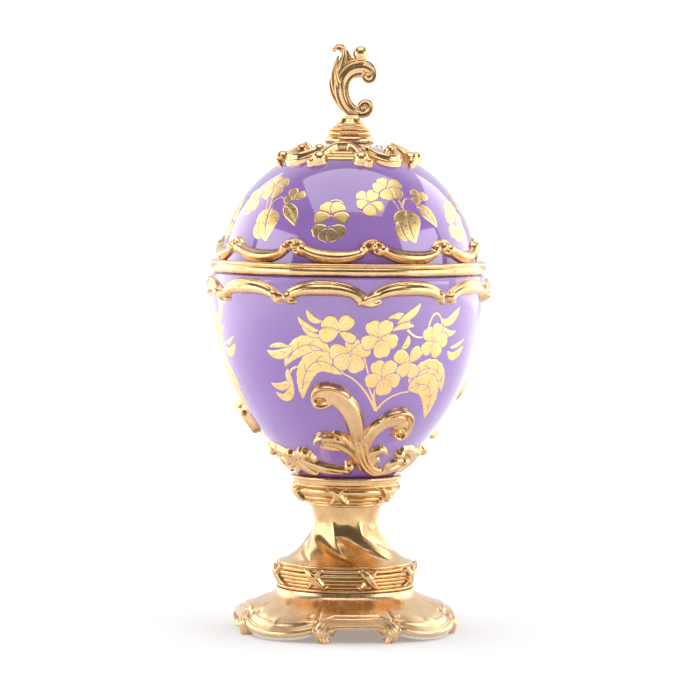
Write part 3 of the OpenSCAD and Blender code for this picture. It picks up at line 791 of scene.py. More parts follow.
def acanthus_sprays():
    r = Relief(BOWL, (-37, 36), (BOWL_Z + 0.8, BOWL_Z + 34.5), 0.25)
    limb = limbs(r, BOWL_Z)
    z = BOWL_Z
    # The low right leaf with its hook
    limb([[6, 4.0], [3.5, 9.6], [10, 11.4], [18.6, 8.9]], (2.4, 3.2, 1.6), (1.3, 1.9, 1.5))
    limb([[7, 4.4], [10, 7.8], [13, 7.0], [16, 6.0]], (2.2, 2.8, 1.0), (1.2, 1.5, 1.0))
    # The low left leaf in three lobes
    limb([[-8, 9.6], [-12, 13.2], [-16, 15.2], [-20.6, 15.9]], (2.4, 2.6, 0.8), (1.5, 1.8, 1.3), ROUND)
    limb([[-10, 9.6], [-18, 10.8], [-24, 10.7], [-30, 11.1]], (2.0, 2.4, 1.4), (1.3, 1.6, 1.2), ROUND)
    limb([[1, 3.8], [-6, 9.8], [-15, 13.2], [-26, 12.9]], (2.2, 5.0, 4.0), (1.5, 2.1, 1.8), SCROLL)
    limb([[-20.6, 14.6], [-26, 15.2], [-33, 14.8], [-33.4, 12.4]], (1.6, 2.2, 1.6), (2.2, 2.6, 2.2), ROUND)
    # The right limb and its rolled end
    r.bead(20.5, z + 18.0, 3.2, 0.2, 0.55)
    limb([[0, 5.4], [-3, 14.5], [5, 20.5], [18, 20.0]], (2.8, 4.4, 4.8), (1.5, 2.0, 2.0), SCROLL)
    limb([[6, 20.0], [12, 24.2], [25, 23.8], [26, 18.0]], (1.1, 1.8, 1.6), (1.8, 2.5, 2.3), ROUND)
    limb([[26, 18], [26.4, 13.8], [21, 13.4], [17, 15.4]], (1.6, 2.0, 1.5), (2.3, 2.3, 2.0), ROUND)
    r.dent(20.8, z + 17.0, 1.3, 1.6)
    # The tall left limb and its rolled end
    r.bead(-25.0, z + 27.6, 3.8, 0.2, 0.5)
    limb([[-5.6, 11], [-7.2, 18.5], [-11, 26.8], [-23, 28.2]], (3.4, 6.2, 6.4), (1.9, 2.3, 2.3), SCROLL)
    limb([[-12, 27.8], [-17, 31.6], [-28.4, 32.2], [-29.4, 27.6]], (1.1, 2.0, 1.8), (2.0, 2.9, 2.6), ROUND)
    limb([[-29.4, 27.6], [-29.8, 24.4], [-25.5, 24.0], [-21.5, 25.4]], (1.8, 2.2, 1.6), (2.6, 2.6, 2.1),
         ROUND)
    r.dent(-26.4, z + 26.5, 1.3, 1.7)
    r.dent(-24.6, z + 26.7, 1.1, 1.4)
    # The trunk, which sweeps off to the right
    limb([[22, 1.8], [4, 2.4], [-3.6, 7.6], [-5.8, 12.6]], (2.4, 4.0, 3.4), (1.3, 2.1, 1.9))
    limb([[22, 3.0], [9, 3.4], [2, 7.0], [-0.4, 12.4]], (1.6, 2.4, 2.2), (1.3, 1.9, 1.7), ROUND)
    r.soften()
    three_pieces(r, "acanthus", "acanthus_spray")


def base_branches():
    r = Relief(BOWL, (-94, 76), (BOWL_Z + 0.5, BOWL_Z + 13), 0.25)
    limb = limbs(r, BOWL_Z)
    z = BOWL_Z
    limb([[-86, 9.6], [-66, 9.8], [-62, 3.2], [-46, 1.6]], (2.4, 3.8, 2.0), (1.4, 1.9, 1.2))
    limb([[-56, 7.0], [-44, 4.6], [-30, 2.6], [-10, 2.9]], (2.4, 4.2, 2.4), (1.5, 2.1, 1.4))
    limb([[-40, 4.4], [-32, 4.6], [-26, 3.8], [-18, 3.6]], (1.2, 2.2, 1.0), (1.5, 1.9, 1.3), ROUND)
    limb([[-54, 6.2], [-52, 9.2], [-46, 9.4], [-40, 6.6]], (1.6, 2.8, 1.6), (1.5, 1.8, 1.4), ROUND)
    limb([[-16, 3.0], [-10, 2.6], [-8, 3.4], [-9, 4.8]], (1.6, 2.2, 1.8), (1.3, 1.6, 1.5), ROUND)
    r.bead(-45.5, z + 8.6, 1.9, 0.9)
    r.bead(-10.5, z + 4.9, 1.7, 0.9)
    r.bead(-88, z + 8.4, 1.7, 0.8)
    r.bead(-72, z + 5.4, 1.6, 0.6)
    limb([[-72, 5.4], [-70, 7.4], [-68, 8.4], [-64, 8.6]], (1.6, 2.0, 1.2), (1.3, 1.5, 1.2), ROUND)
    limb([[20, 1.9], [34, 2.6], [50, 4.2], [71, 9.0]], (2.2, 3.2, 1.8), (1.3, 1.8, 1.4))
    limb([[28, 3.0], [33, 6.6], [40, 6.6], [46, 4.6]], (1.6, 3.0, 1.4), (1.2, 1.8, 1.3))
    limb([[42, 3.6], [49, 1.8], [57, 2.8], [61, 5.2]], (1.4, 2.8, 1.4), (1.2, 1.6, 1.2))
    limb([[48, 5.0], [54, 8.2], [60, 8.0], [65, 7.4]], (1.4, 2.6, 1.2), (1.2, 1.7, 1.2))
    r.bead(71, z + 9.0, 1.5, 0.8)
    r.bead(58, z + 8.2, 1.1, 0.9)
    r.soften()
    three_pieces(r, "base_branch", "base_garland")


# ---- Flower transfers ----

VIOLET_PETALS = [(118, 4.7, 3.7), (62, 4.7, 3.5), (196, 4.2, 3.6), (-14, 4.4, 3.6), (-78, 4.5, 4.0)]


def turned_petals(turn, stretch=1.0):
    return [(a + turn, l * stretch, w) for a, l, w in VIOLET_PETALS]


def bowl_bouquet():
    b = Transfer(BOWL, (-42, 66), (RIM_Z - 45, RIM_Z - 8))
    for path in ([[15.0, 73.0], [9, 79.6], [4, 83.4], [-2, 84.8]],
                 [[15.8, 73.0], [12, 78], [13, 80], [15, 82]],
                 [[16.4, 73.8], [20, 77.4], [25, 78.6], [31, 78.9]],
                 [[15.6, 73.2], [13.6, 76], [11.6, 79], [8, 83]],
                 [[24, 90], [22, 86], [21, 84], [20, 82]], [[7, 91], [8, 88], [9, 86], [10, 84]],
                 [[35.9, 97.9], [36.5, 103.4], [40.5, 105.4], [43, 101.2]],
                 [[-31, 92.6], [-27, 93.4], [-25, 93.2], [-23, 92.6]],
                 [[-21.9, 86.6], [-25, 86.6], [-27.5, 85.6], [-27.2, 82.5]],
                 [[26, 98.4], [30, 95.6], [32, 96], [34, 96.2]]):
        b.stem(curve(path, 16), 0.6)
    b.leaf(curve([[-8, 89.6], [-13, 95.6], [-22, 95.4], [-29, 86.6]], 24), 6.4, 5)
    b.leaf(curve([[-2, 84.6], [-12, 92.0], [-20, 89.0], [-22.5, 76.4]], 24), 6.8, 5)
    b.leaf(curve([[30.2, 81.6], [37, 88.0], [46, 88.0], [53.6, 78.4]], 24), 6.4, 5)
    b.leaf(curve([[30.6, 79.6], [39, 82.6], [46, 82.0], [49.6, 69.8]], 24), 7.6, 5)
    for path, w in (([[-21, 102.6], [-18, 98.4], [-14, 98.4], [-11.5, 98.2]], 2.2),
                    ([[-16.8, 104.8], [-16, 101.6], [-13, 100.8], [-10.2, 101.4]], 2.2),
                    ([[-19.5, 99.8], [-17, 96.6], [-13, 96.2], [-9.5, 97]], 1.5),
                    ([[-37.4, 91.6], [-34, 89.4], [-29, 89.8], [-23.8, 93]], 3.0),
                    ([[-36, 92.6], [-32, 93.4], [-29, 93.6], [-25.6, 92.8]], 1.5),
                    ([[-38.8, 81.2], [-35, 79.4], [-31, 79.6], [-26.6, 82.6]], 2.6),
                    ([[-37.2, 78.4], [-33, 75.2], [-29, 76.4], [-26.4, 81.4]], 2.8),
                    ([[-27.6, 86.0], [-29, 83.6], [-27.4, 81.6], [-26.2, 80.2]], 2.0),
                    ([[17, 101.9], [20, 104.2], [24, 102.4], [27, 100.8]], 2.2),
                    ([[21, 100.4], [25, 102.8], [29, 103.6], [31.2, 106.8]], 2.6),
                    ([[19, 98.2], [22, 100], [26, 100], [29, 99.6]], 2.0),
                    ([[26.4, 96.8], [27, 94.6], [26, 93], [23.4, 92.6]], 2.0),
                    ([[42.4, 102.2], [45.6, 98.8], [50, 101], [54.2, 105.4]], 2.8),
                    ([[42.8, 100.4], [45.6, 96.4], [50, 96.6], [53.2, 97.8]], 2.2),
                    ([[49.6, 91.6], [52.6, 88.6], [57, 89.2], [61.6, 92.8]], 2.8),
                    ([[50.6, 92.6], [54, 92.4], [58, 93.4], [61.2, 95.2]], 1.4)):
        b.bud(curve(path, 14), w)
    b.flower(28.8, 88.2, [(150, 5.0, 3.4), (58, 4.6, 3.2), (-62, 4.4, 3.2), (-128, 4.2, 3.2)])
    b.flower(1.1, 91.2, [(176, 5.0, 4.2), (78, 4.2, 3.4), (14, 5.2, 3.6), (-64, 5.4, 4.2), (-130, 5.0, 3.8)])
    b.flower(-3.6, 98.0, [(140, 4.8, 4.2), (52, 4.8, 3.6), (196, 5.0, 3.6), (-30, 4.6, 2.4)])
    b.flower(39.6, 94.4, [(128, 4.4, 3.4), (72, 5.0, 3.4), (222, 3.8, 3.4), (8, 5.0, 3.6), (-56, 4.4, 3.2)])
    b.flower(13.6, 95.8, turned_petals(2, 1.1))
    b.flower(16.6, 83.4, turned_petals(-1, 1.06))
    b.film()
    for k in range(3):
        b.piece("bowl_bouquet_%d" % (k + 1), "box", TRANSFER, turn=ROUND_STEP * k, keep=-0.12, under=0.12)


def lid_bouquets():
    z = DOME_Z
    b = Transfer(DOME, (4, 56), (z + 8.0, z + 29.5), 0.2)
    for path in ([[28, z + 19], [30, z + 22], [33, z + 23], [36, z + 21]],
                 [[19, z + 23], [22, z + 24], [25, z + 21], [26.5, z + 17.5]],
                 [[29, z + 16], [28.6, z + 19], [27.6, z + 21], [26, z + 23.6]]):
        b.stem(curve(path, 16), 0.5)
    b.flower(10.6, z + 20.4, [(126, 4.4, 3.2), (66, 4.6, 3.2), (188, 3.4, 3.0), (-20, 4.0, 3.2),
                              (-90, 3.8, 3.6)], 0.95)
    b.flower(23.2, z + 25.2, [(110, 3.8, 3.4), (30, 4.4, 3.6), (176, 4.2, 3.4), (-40, 4.2, 3.6),
                              (-112, 4.2, 3.6)], 0.95)
    b.leaf(curve([[29.4, z + 18.4], [28.8, z + 15.0], [29.6, z + 11.6], [31.8, z + 8.4]], 24), 9.4, 4, 0.04,
           blunt=0.62)
    b.bud(curve([[24.6, z + 14.6], [22.4, z + 12.4], [23.4, z + 10.4], [27.4, z + 9.0]], 16), 2.4)
    b.flower(41.6, z + 21.4, [(112, 4.0, 2.8), (40, 3.6, 2.6), (180, 3.0, 2.4)], 0.9)
    b.leaf(curve([[36.6, z + 19.0], [40, z + 19.2], [44.4, z + 17.0], [46.0, z + 13.2]], 20), 4.6, 4, 0.05)
    b.film()
    s = Transfer(DOME, (-22, 4), (z + 7.5, z + 24.5), 0.2)
    s.stem(curve([[-16, z + 15], [-14, z + 20.4], [-7, z + 22.8], [-3, z + 20.4]], 20), 0.6)
    s.flower(-8.4, z + 16.4, [(124, 4.2, 3.6), (56, 4.2, 3.6), (186, 4.4, 3.0), (-6, 4.4, 3.0)])
    s.flower(-9.2, z + 13.0, [(200, 4.4, 3.4), (-22, 4.4, 3.6), (-112, 3.8, 3.2), (-66, 3.8, 3.0)])
    s.film()
    for k in range(5):
        b.piece("lid_bouquet_%d" % (k + 1), "lid", TRANSFER, turn=72 * k, keep=-0.12, under=0.12)
        s.piece("lid_sprig_%d" % (k + 1), "lid", TRANSFER, turn=72 * k, keep=-0.12, under=0.12)


# ---- Finial ----

def finial_socle():
    h = NECK_Z - CROWN_Z
    base = [[SOCLE_FOOT_R, CROWN_Z], [SOCLE_R - 1.4, CROWN_Z + 0.3 * h], [SOCLE_R - 2.0, CROWN_Z + 0.55 * h],
            [SOCLE_R - 3.0, CROWN_Z + 0.64 * h], [4.0, CROWN_Z + 0.76 * h], [3.3, CROWN_Z + 0.9 * h],
            [3.5, NECK_Z]]
    rolls = [[SOCLE_R, CROWN_Z + 0.17 * h, 1.4], [SOCLE_R - 0.9, CROWN_Z + 0.40 * h, 0.75],
             [SOCLE_R - 1.4, CROWN_Z + 0.54 * h, 0.5], [SOCLE_R - 2.9, CROWN_Z + 0.68 * h, 0.45]]
    face = moulded(CROWN_Z, NECK_Z, base, rolls, 0.08)
    outline = np.concatenate([[[0, CROWN_Z]], face, [[0, NECK_Z]]])
    lathe("finial_base", outline, "lid", GILT, ["finial_socle"], 128, 60)


def box_section(grooves=2, n=12, round_by=0.28, deep=0.16):
    """A flat bar's section: rounded corners, and grooves that run along its two broad faces."""
    pts = []
    for side in (1, -1):
        x = np.linspace(-1, 1, n * 2 + 1) * side
        y = side * (1 - deep * (0.5 - 0.5 * np.cos(2 * math.pi * grooves * (x + 1) / 2)))
        y = y * (1 - round_by * np.abs(x) ** 6)
        pts += list(zip(-x, y))
    return pts


def flat_band(points, width, depth, section=None):
    """A band in the finial's upright plane: its width lies in the plane, and its depth runs front to back."""
    p = np.array(points, float)
    path = np.stack([p[:, 0], 0 * p[:, 0], p[:, 1]], 1)
    normals = np.tile([0.0, -1.0, 0.0], (len(p), 1))
    return sweep(path, normals, width, depth, section or box_section())


def finial():
    """The C-scroll, its volutes, the acanthus leaf behind it and the ball on it, in shares of its height."""
    f = TOP_Z - NECK_Z

    def at(*xy):
        return [[x * f, NECK_Z + y * f] for x, y in xy]
    back = chain(curve(at((0.15, 0.035), (0.02, 0.03), (-0.115, 0.16), (-0.117, 0.40)), 24),
                 curve(at((-0.117, 0.40), (-0.118, 0.55), (-0.02, 0.655), (0.10, 0.675)), 18),
                 curve(at((0.10, 0.675), (0.22, 0.69), (0.30, 0.66), (0.30, 0.585)), 16))
    t = np.linspace(0, 1, len(back))
    band = flat_band(back, np.interp(t, [0, 0.12, 0.42, 0.68, 0.8, 1], [2.4, 4.0, 5.0, 5.8, 5.8, 3.2]),
                     np.interp(t, [0, 0.4, 1], [4.6, 5.0, 4.6]))
    toe = chain(curve(at((0.10, 0.035), (0.20, 0.0), (0.31, 0.05), (0.285, 0.14)), 16),
                curve(at((0.285, 0.14), (0.26, 0.215), (0.15, 0.20), (0.15, 0.12)), 16),
                curve(at((0.15, 0.12), (0.15, 0.07), (0.21, 0.07), (0.21, 0.11)), 10))
    t = np.linspace(0, 1, len(toe))
    lower = flat_band(toe, 3.2 - 1.6 * t, 4.7 + 0.6 * t, box_section(1, 10, 0.4, 0.12))
    nose = chain(curve(at((0.18, 0.70), (0.30, 0.71), (0.37, 0.62), (0.325, 0.535)), 16),
                 curve(at((0.325, 0.535), (0.28, 0.47), (0.185, 0.51), (0.20, 0.59)), 14),
                 curve(at((0.20, 0.59), (0.21, 0.64), (0.27, 0.63), (0.265, 0.59)), 10))
    t = np.linspace(0, 1, len(nose))
    upper = flat_band(nose, 2.8 - 1.2 * t, 4.6 + 0.5 * t, box_section(1, 10, 0.4, 0.12))
    eyes = [ball([x * f, 0, NECK_Z + y * f], r * f, (1, d / (2 * r * f), 1))
            for x, y, r, d in ((0.25, 0.59, 0.052, 5.6), (0.205, 0.115, 0.052, 5.8))]
    add("finial_c_scroll", *joined(band, lower, upper, *eyes), "lid", GILT, ["finial_scroll"], sharp=75)

    lobes = (([(-0.07, 0.08), (-0.23, 0.24), (-0.285, 0.40), (-0.285, 0.53)], 2.0, 0.5, 3.4),
             ([(-0.13, 0.20), (-0.27, 0.40), (-0.25, 0.66), (-0.17, 0.85)], 2.4, 0.6, 4.2),
             ([(-0.15, 0.38), (-0.22, 0.64), (-0.04, 0.80), (-0.095, 0.975)], 2.6, 1.0, 4.6),
             ([(-0.085, 0.90), (-0.11, 0.99), (-0.19, 0.99), (-0.24, 0.945)], 2.0, 1.3, 3.6),
             ([(-0.08, 0.62), (0.0, 0.74), (-0.01, 0.82), (-0.05, 0.93)], 2.2, 0.6, 3.4),
             ([(-0.10, 0.30), (-0.19, 0.46), (-0.21, 0.58), (-0.215, 0.70)], 1.6, 0.8, 5.2))
    parts = []
    for pts, w0, w1, d0 in lobes:
        line = curve(at(*pts), 20)
        t = np.linspace(0, 1, len(line))
        w = w0 + (w1 - w0) * t + 0.9 * np.sin(math.pi * t)
        parts.append(flat_band(line, w, d0 * (0.65 + 0.35 * np.sin(math.pi * t)),
                               box_section(1, 8, 0.55, 0.2)))
    parts.append(ball([-0.238 * f, 0, NECK_Z + 0.945 * f], 0.042 * f, (1, 1.6, 1)))
    parts.append(ball([0.02 * f, -0.6, NECK_Z + 0.80 * f], 0.032 * f))
    add("finial_acanthus", *joined(*parts), "lid", GILT, ["finial_leaf"], sharp=75)

    r = 0.113 * f
    x, z = 0.146 * f, TOP_Z - r
    cup = moulded(z - 1.5 * r, z - 0.55 * r, [[0.6 * r, z - 1.5 * r], [0.85 * r, z - 0.55 * r]],
                  [[0.98 * r, z - 0.95 * r, 0.3 * r]], 0.06)
    v, fs = turned(np.r_[0, cup[:, 0], 0], np.r_[cup[0, 1], cup[:, 1], cup[-1, 1]], 48)
    add("finial_ball", *joined(ball([x, 0, z], r, rows=24, cols=40), (v + [x, 0, 0], fs)),
        "lid", GILT, ["finial_bead"])


# ---- Pedestal ----

def cross_ribbons(r, phi, z0, z1, turn, width, height):
    """A broad leaf laid across a moulding, over a smaller one that leans the other way."""
    r.stroke(curve([[phi + turn * 0.7, z1 - 0.2], [phi + turn * 0.3, z1 - 0.6], [phi - turn * 0.2, z0 + 0.8],
                    [phi - turn * 0.8, z0 + 0.1]], 16), (width * 0.3, width * 0.75, width * 0.35),
             height * 0.75, ROUND)
    r.stroke(curve([[phi - turn * 0.95, z1 - 0.5], [phi - turn * 0.4, z1 - 0.1], [phi + turn * 0.2, z0 + 0.4],
                    [phi + turn, z0 + 0.4]], 16), (width * 0.4, width * 1.35, width * 0.3), height, LEAF)


def collar():
    z, h = COLLAR_Z, COLLAR_H
    base = [[11.4, z], [12.0, z + 0.3], [13.1, z + 1.3], [14.3, z + 2.4], [15.2, z + 3.8], [15.7, z + 6.4],
            [16.6, z + 6.7], [17.0, z + 8.6], [17.2, z + h]]
    rolls = [[12.7, z + 0.55, 0.5], [13.9, z + 1.6, 0.55], [15.4, z + 2.95, 0.75], [16.7, z + 5.1, 1.35],
             [17.3, z + 6.95, 0.45], [17.95, z + h - 0.6, 0.58]]
    face = moulded(z, z + h, base, rolls, 0.08)
    outline = np.concatenate([[[BORE_R, z]], face, [[BORE_R, z + h]]])
    lathe("collar_mouldings", outline, "box", GILT_STEM, ["collar"], 192, 60)
    env = Surface([[12.6, z], [13.7, z + 1.5], [15.2, z + 2.9], [16.2, z + 4.3], [16.6, z + 5.2],
                   [16.6, z + 6.2],
                   [16.9, z + 7.0], [17.0, z + 8.6], [17.2, z + h]])
    r = Relief(env, (0, 360), (z + 1.0, z + 8.0), 0.22)
    for k in range(6):
        cross_ribbons(r, -9 + 60 * k, z + 2.0, z + 6.8, 12, 2.3, 1.7)
    r.soften()
    r.piece("collar_cross_ribbons", "box", GILT_STEM, ["collar_ribbons"])


FLUTES = 8
STEM_LINE = [[20, 0], [11.6, 0.26], [9.46, 0.69], [11.4, 1.0]]


def stem():
    """Hollow flutes that swirl down the stem, each rounded at its top and drawn out to a point below."""
    rows, cols = 140, 480
    line = curve(STEM_LINE, 200) * [1, STEM_H]
    z = np.linspace(0, STEM_H, rows)[:, None]
    r = np.interp(z, line[:, 1], line[:, 0])
    phi = (np.arange(cols) * 360 / cols)[None, :]
    t = 1 - z / STEM_H
    pitch = 360 / FLUTES
    w = ((phi + 22 - 36 * t ** 3) % pitch) / pitch
    full = np.clip((z - 0.6) / 8.0, 0.001, 1) ** 0.75
    inside = np.clip((w - (1 - full)) / full, 0, 1)
    top = STEM_H - 1.0 - 3.2 * (2 * w - 1) ** 2
    depth = 0.8 * np.sin(math.pi * inside) ** 1.2 * ease(top - z, 0, 5.0) * np.clip(full * 1.6, 0, 1)
    r = r - depth
    outline_r = np.concatenate([np.full((1, cols), BORE_R), r, np.full((1, cols), BORE_R)])
    outline_z = np.concatenate([np.full((1, cols), 0.0), z + 0 * phi, np.full((1, cols), STEM_H)]) + STEM_Z
    verts, faces = turned(outline_r, outline_z, cols)
    add("fluted_stem", verts, faces, "box", GILT_STEM, ["stem"], sharp=65)


def stem_ring():
    z, h, R = RING_Z, RING_H, RING_R
    base = [[R - 2.6, z], [R - 2.2, z + 0.3 * h], [R - 1.2, z + 0.6 * h], [R - 2.2, z + 0.95 * h],
            [R - 3.0, z + h]]
    rolls = [[R - 1.4, z + 0.075 * h, 0.6], [R - 1.75, z + 0.22 * h, 0.55], [R - 1.1, z + 0.36 * h, 0.62],
             [R - 0.55, z + 0.50 * h, 0.62], [R - 0.15, z + 0.645 * h, 0.65], [R - 0.55, z + 0.80 * h, 0.6],
             [R - 1.7, z + 0.93 * h, 0.5]]
    face = moulded(z, z + h, base, rolls, 0.07)
    outline = np.concatenate([[[BORE_R, z]], face, [[BORE_R, z + h]]])
    lathe("ring_mouldings", outline, "box", GILT_STEM, ["stem_ring"], 224, 60)
    env = Surface([[R - 1.8, z], [R - 1.9, z + 0.2 * h], [R - 1.25, z + 0.36 * h], [R - 0.7, z + 0.50 * h],
                   [R - 0.35, z + 0.645 * h], [R - 0.7, z + 0.80 * h], [R - 2.2, z + h]])
    r = Relief(env, (0, 360), (z + 0.6, z + h - 0.5), 0.25)
    for k in range(8):
        cross_ribbons(r, 20 + 45 * k, z + 0.2 * h, z + 0.86 * h, 9.5, 2.4, 1.6)
    r.soften()
    r.piece("ring_cross_ribbons", "box", GILT_STEM, ["ring_ribbons"])


ARCH_PHI = 6.6
FOOT_R = 38.2
LOBE_R, LOBE_MID = 0.576 * FOOT_R, 0.424 * FOOT_R
NECK_R = 22.2
ARCH_R = 34.7


def foot():
    """The bell foot: a flared skirt, four lobes with a rolled edge, and an arch between each two."""
    cols = 1080
    phi = np.arange(cols) * 360 / cols
    a = np.abs((phi - ARCH_PHI + 45) % 90 - 45)
    arch = 1 - ease(a, 12, 23)
    d = np.radians(45 - a)
    lobe = LOBE_MID * np.cos(d) + np.sqrt(LOBE_R ** 2 - (LOBE_MID * np.sin(d)) ** 2)
    notch = np.exp(-((a - 21.8) / 1.1) ** 2)
    R = np.where(a > 21.8, lobe, ARCH_R + 0.6 * ease(a, 11, 17)) - 0.9 * notch
    # The rim hangs low in the middle of a lobe and climbs towards its ends
    low_edge = 0.3 + 2.3 * (np.clip(45 - a, 0, 24) / 24) ** 2.4
    mid = low_edge + 2.1
    # The skirt's outline, from the neck outwards
    bell = curve([[NECK_R, RING_Z], [NECK_R + 0.3, 0.67 * RING_Z], [0.87 * FOOT_R, 0.82 * RING_Z],
                  [FOOT_R, 2.2]], 400)
    share = np.linspace(0, 1, 70)[:, None]
    t = share * np.interp(R - 1.0 - 1.0 * arch, bell[:, 0], np.linspace(0, 1, len(bell)))
    r1 = np.interp(t, np.linspace(0, 1, len(bell)), bell[:, 0])
    z1 = np.interp(t, np.linspace(0, 1, len(bell)), bell[:, 1])
    e = (R - r1) * (1 + 0.25 * (1 - arch))
    dimple = 0.6 * np.exp(-((a - 45) / 12) ** 2) * np.exp(-((e - 9) / 5) ** 2)
    second = 0.4 * np.exp(-((e - 3.6) / 0.5) ** 2) * ease(a, 24, 28) * (1 - ease(a, 40, 44))
    groove = 0.5 * np.exp(-((e - 2.6) / 0.5) ** 2) * (1 - arch)
    line = 0.35 * np.exp(-((e - 3.2) / 0.5) ** 2) * arch
    rib = 0.5 * np.abs(np.sin(np.radians(a * 9))) * np.exp(-((e - 5.0) / 2.6) ** 2) * ease(a, 38, 43)
    pit = np.exp(-((a - 25.5) / 1.8) ** 2 - ((e - 6.0) / 1.1) ** 2)
    drop = (1 - arch) * np.maximum(z1[-1] - mid - 0.95, 0) * share ** 3.2
    z1 = z1 - drop - dimple + second - groove + line + rib - 0.6 * pit
    neck_r = np.array([BORE_R, NECK_R - 0.3])
    neck_z = np.full(2, RING_Z)
    # The edge: a round roll on the lobes, a lined face over the arches
    v = np.linspace(0, 1, 22)[1:, None]
    turn = np.radians(100 - 175 * v)
    roll_r, roll_h = 1.2, 1.25
    lobe_r, lobe_z = R - roll_r + roll_r * np.cos(turn), mid + roll_h * np.sin(turn)
    under = np.where(a < 10, 4.35 - 0.5 * (a / 10) ** 2, 3.85 - 2.4 * ease(a, 10, 13.5))
    face_r = R - 2.0 + 1.6 * v ** 0.6
    face_z = z1[-1] + (under - z1[-1]) * v ** 1.4
    r2, z2 = lobe_r + (face_r - lobe_r) * arch, lobe_z + (face_z - lobe_z) * arch
    last_r, last_z = r2[-1], z2[-1]
    foot_z = np.maximum(low_edge + (last_z - low_edge) * arch, 0.15)
    band_r = [last_r - 0.1, last_r - 0.45, last_r - 1.1, last_r - 2.6]
    band_z = [last_z + (foot_z - last_z) * 0.6, foot_z + 0.05, foot_z, foot_z + 0.6]
    inner = share[::-1][::6]
    r3 = NECK_R - 3 + (last_r - 3.0 - NECK_R + 3) * inner
    z3 = (RING_Z - 3.2) + (foot_z + 0.9 - RING_Z + 3.2) * inner ** 1.7
    hub = [np.full(cols, NECK_R - 5), np.full(cols, BORE_R)]
    r = np.concatenate([neck_r[:, None] + 0 * phi, r1, r2, band_r, r3, hub])
    z = np.concatenate([neck_z[:, None] + 0 * phi, z1, z2, band_z, z3, np.full((2, cols), RING_Z - 3.0)])
    verts, faces = turned(r, z, cols)
    n = len(neck_z) + len(z1) + len(z2)
    bare = np.zeros(r.shape)
    bare[n - 2:n + 3] = [[0.5], [0.9], [1], [1], [1]]
    add("foot_bell", verts, faces, "box", GILT_FOOT, ["foot", "foot_rim_moulding"],
        {"bare": bare.ravel()}, sharp=65)


def foot_scrolls():
    """Four lined bands: each arches between two lobes and runs down into a scroll foot at both ends."""
    half = chain(curve([[-10.2, 0.02], [-10.3, 0.9], [-11.5, 1.8], [-11.3, 3.2]], 16),
                 curve([[-11.3, 3.2], [-11.0, 5.0], [-8.6, 5.9], [-6.0, 6.0]], 16),
                 curve([[-6.0, 6.0], [-4.0, 6.08], [-2.0, 6.1], [0, 6.1]], 10))
    line = chain(half, half[::-1] * [-1, 1])
    side = np.abs(line[:, 0])
    psi = line[:, 0] / 34.6
    rad = 34.6 - 0.5 * ease(line[:, 1], 3.0, 0.0) - 0.9 * ease(line[:, 1], 3.6, 5.9)
    path = np.stack([rad * np.sin(psi), -rad * np.cos(psi), line[:, 1]], 1)
    h = line[:, 1]
    lean = np.radians(42) * ease(h, 3.6, 5.9)
    normals = np.stack([np.sin(psi) * np.cos(lean), -np.cos(psi) * np.cos(lean), np.sin(lean)], 1)
    leg = side > 9.5
    width = np.where(leg & (h < 3.3), np.interp(h, [0, 1.2, 3.3], [3.0, 3.4, 5.2]),
                     np.interp(side, [0, 6, 9.5, 11.3], [3.2, 3.3, 4.2, 5.2]))
    depth = np.where(leg & (h < 3.3), np.interp(h, [0, 3.3], [3.4, 4.2]),
                     np.interp(side, [0, 6, 11.3], [2.0, 2.3, 4.2]))
    x = np.linspace(-1, 1, 37)
    crest = 1 - 0.16 * np.cos(2.5 * math.pi * x) ** 2 - 0.6 * np.abs(x) ** 3
    section = np.concatenate([np.stack([x, crest], 1), [[1, -0.9], [-1, -0.9]]])
    parts = []
    for k in range(4):
        parts.append(sweep(path, normals, width, depth, section[::-1]))
        for s in (-1, 1):
            for a, z, r, out in ((13.4, 4.1, 0.75, 35.6), (21.8, 3.9, 1.1, 35.5)):
                p = math.radians(a * s)
                parts.append(ball([out * math.sin(p), -out * math.cos(p), z], r))
        parts[-5:] = [(spun(v, ARCH_PHI + 90 * k), fs) for v, fs in parts[-5:]]
    verts, faces = joined(*parts)
    verts[:, 2] = np.maximum(verts[:, 2], 0)
    add("scroll_feet", verts, faces, "box", GILT_FOOT, ["foot_scrolls"], sharp=60)


for make in (lid_shell, lid_band, lid_garland, crown_garland, bowl_shell, bowl_garland, acanthus_sprays,
             base_branches,
             bowl_bouquet, lid_bouquets, finial_socle, finial, collar, stem, stem_ring, foot, foot_scrolls):
    make()

# The tie bolt and what it clamps keep their CAD shapes
for node, material in (("tie_bolt", BRASS), ("bowl_washer", BRASS), ("foot_washer", BRASS),
                       ("tie_nut", BRASS),
                       ("bowl_cushion", FELT), ("foot_cushion", FELT)):
    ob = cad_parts[node]
    ob.data.materials.clear()
    ob.data.materials.append(material)

# ---- Floor, backdrop, light and camera, in metres ----

SET_R, SET_H = 3.0, 2.6

def paper_with_painted_shadow():
    """White paper that glows, dimmer next to the object and plain white farther off: the dimmer ring is a
    painted shadow round the foot.
    """
    m = Mat("paper_with_painted_shadow", Roughness=0.9, Emission_Color=(1, 1, 1, 1))
    m.set("Base Color", m.mix(m.noise(40, 3), (0.72, 0.72, 0.73), (0.68, 0.68, 0.69)))
    away = m.node("ShaderNodeVectorMath", i0=m.place)
    away.operation = "LENGTH"
    # Painted shadow: the glow is dimmest next to the object and rises to plain white farther off, so the
    # floor is painted darker round the foot.
    glow_with_painted_shadow = m.node("ShaderNodeMapRange", i0=away.outputs["Value"], i1=0.08, i2=0.55, i3=0.24, i4=1.0)
    m.set("Emission Strength", glow_with_painted_shadow.outputs[0])
    return m.material


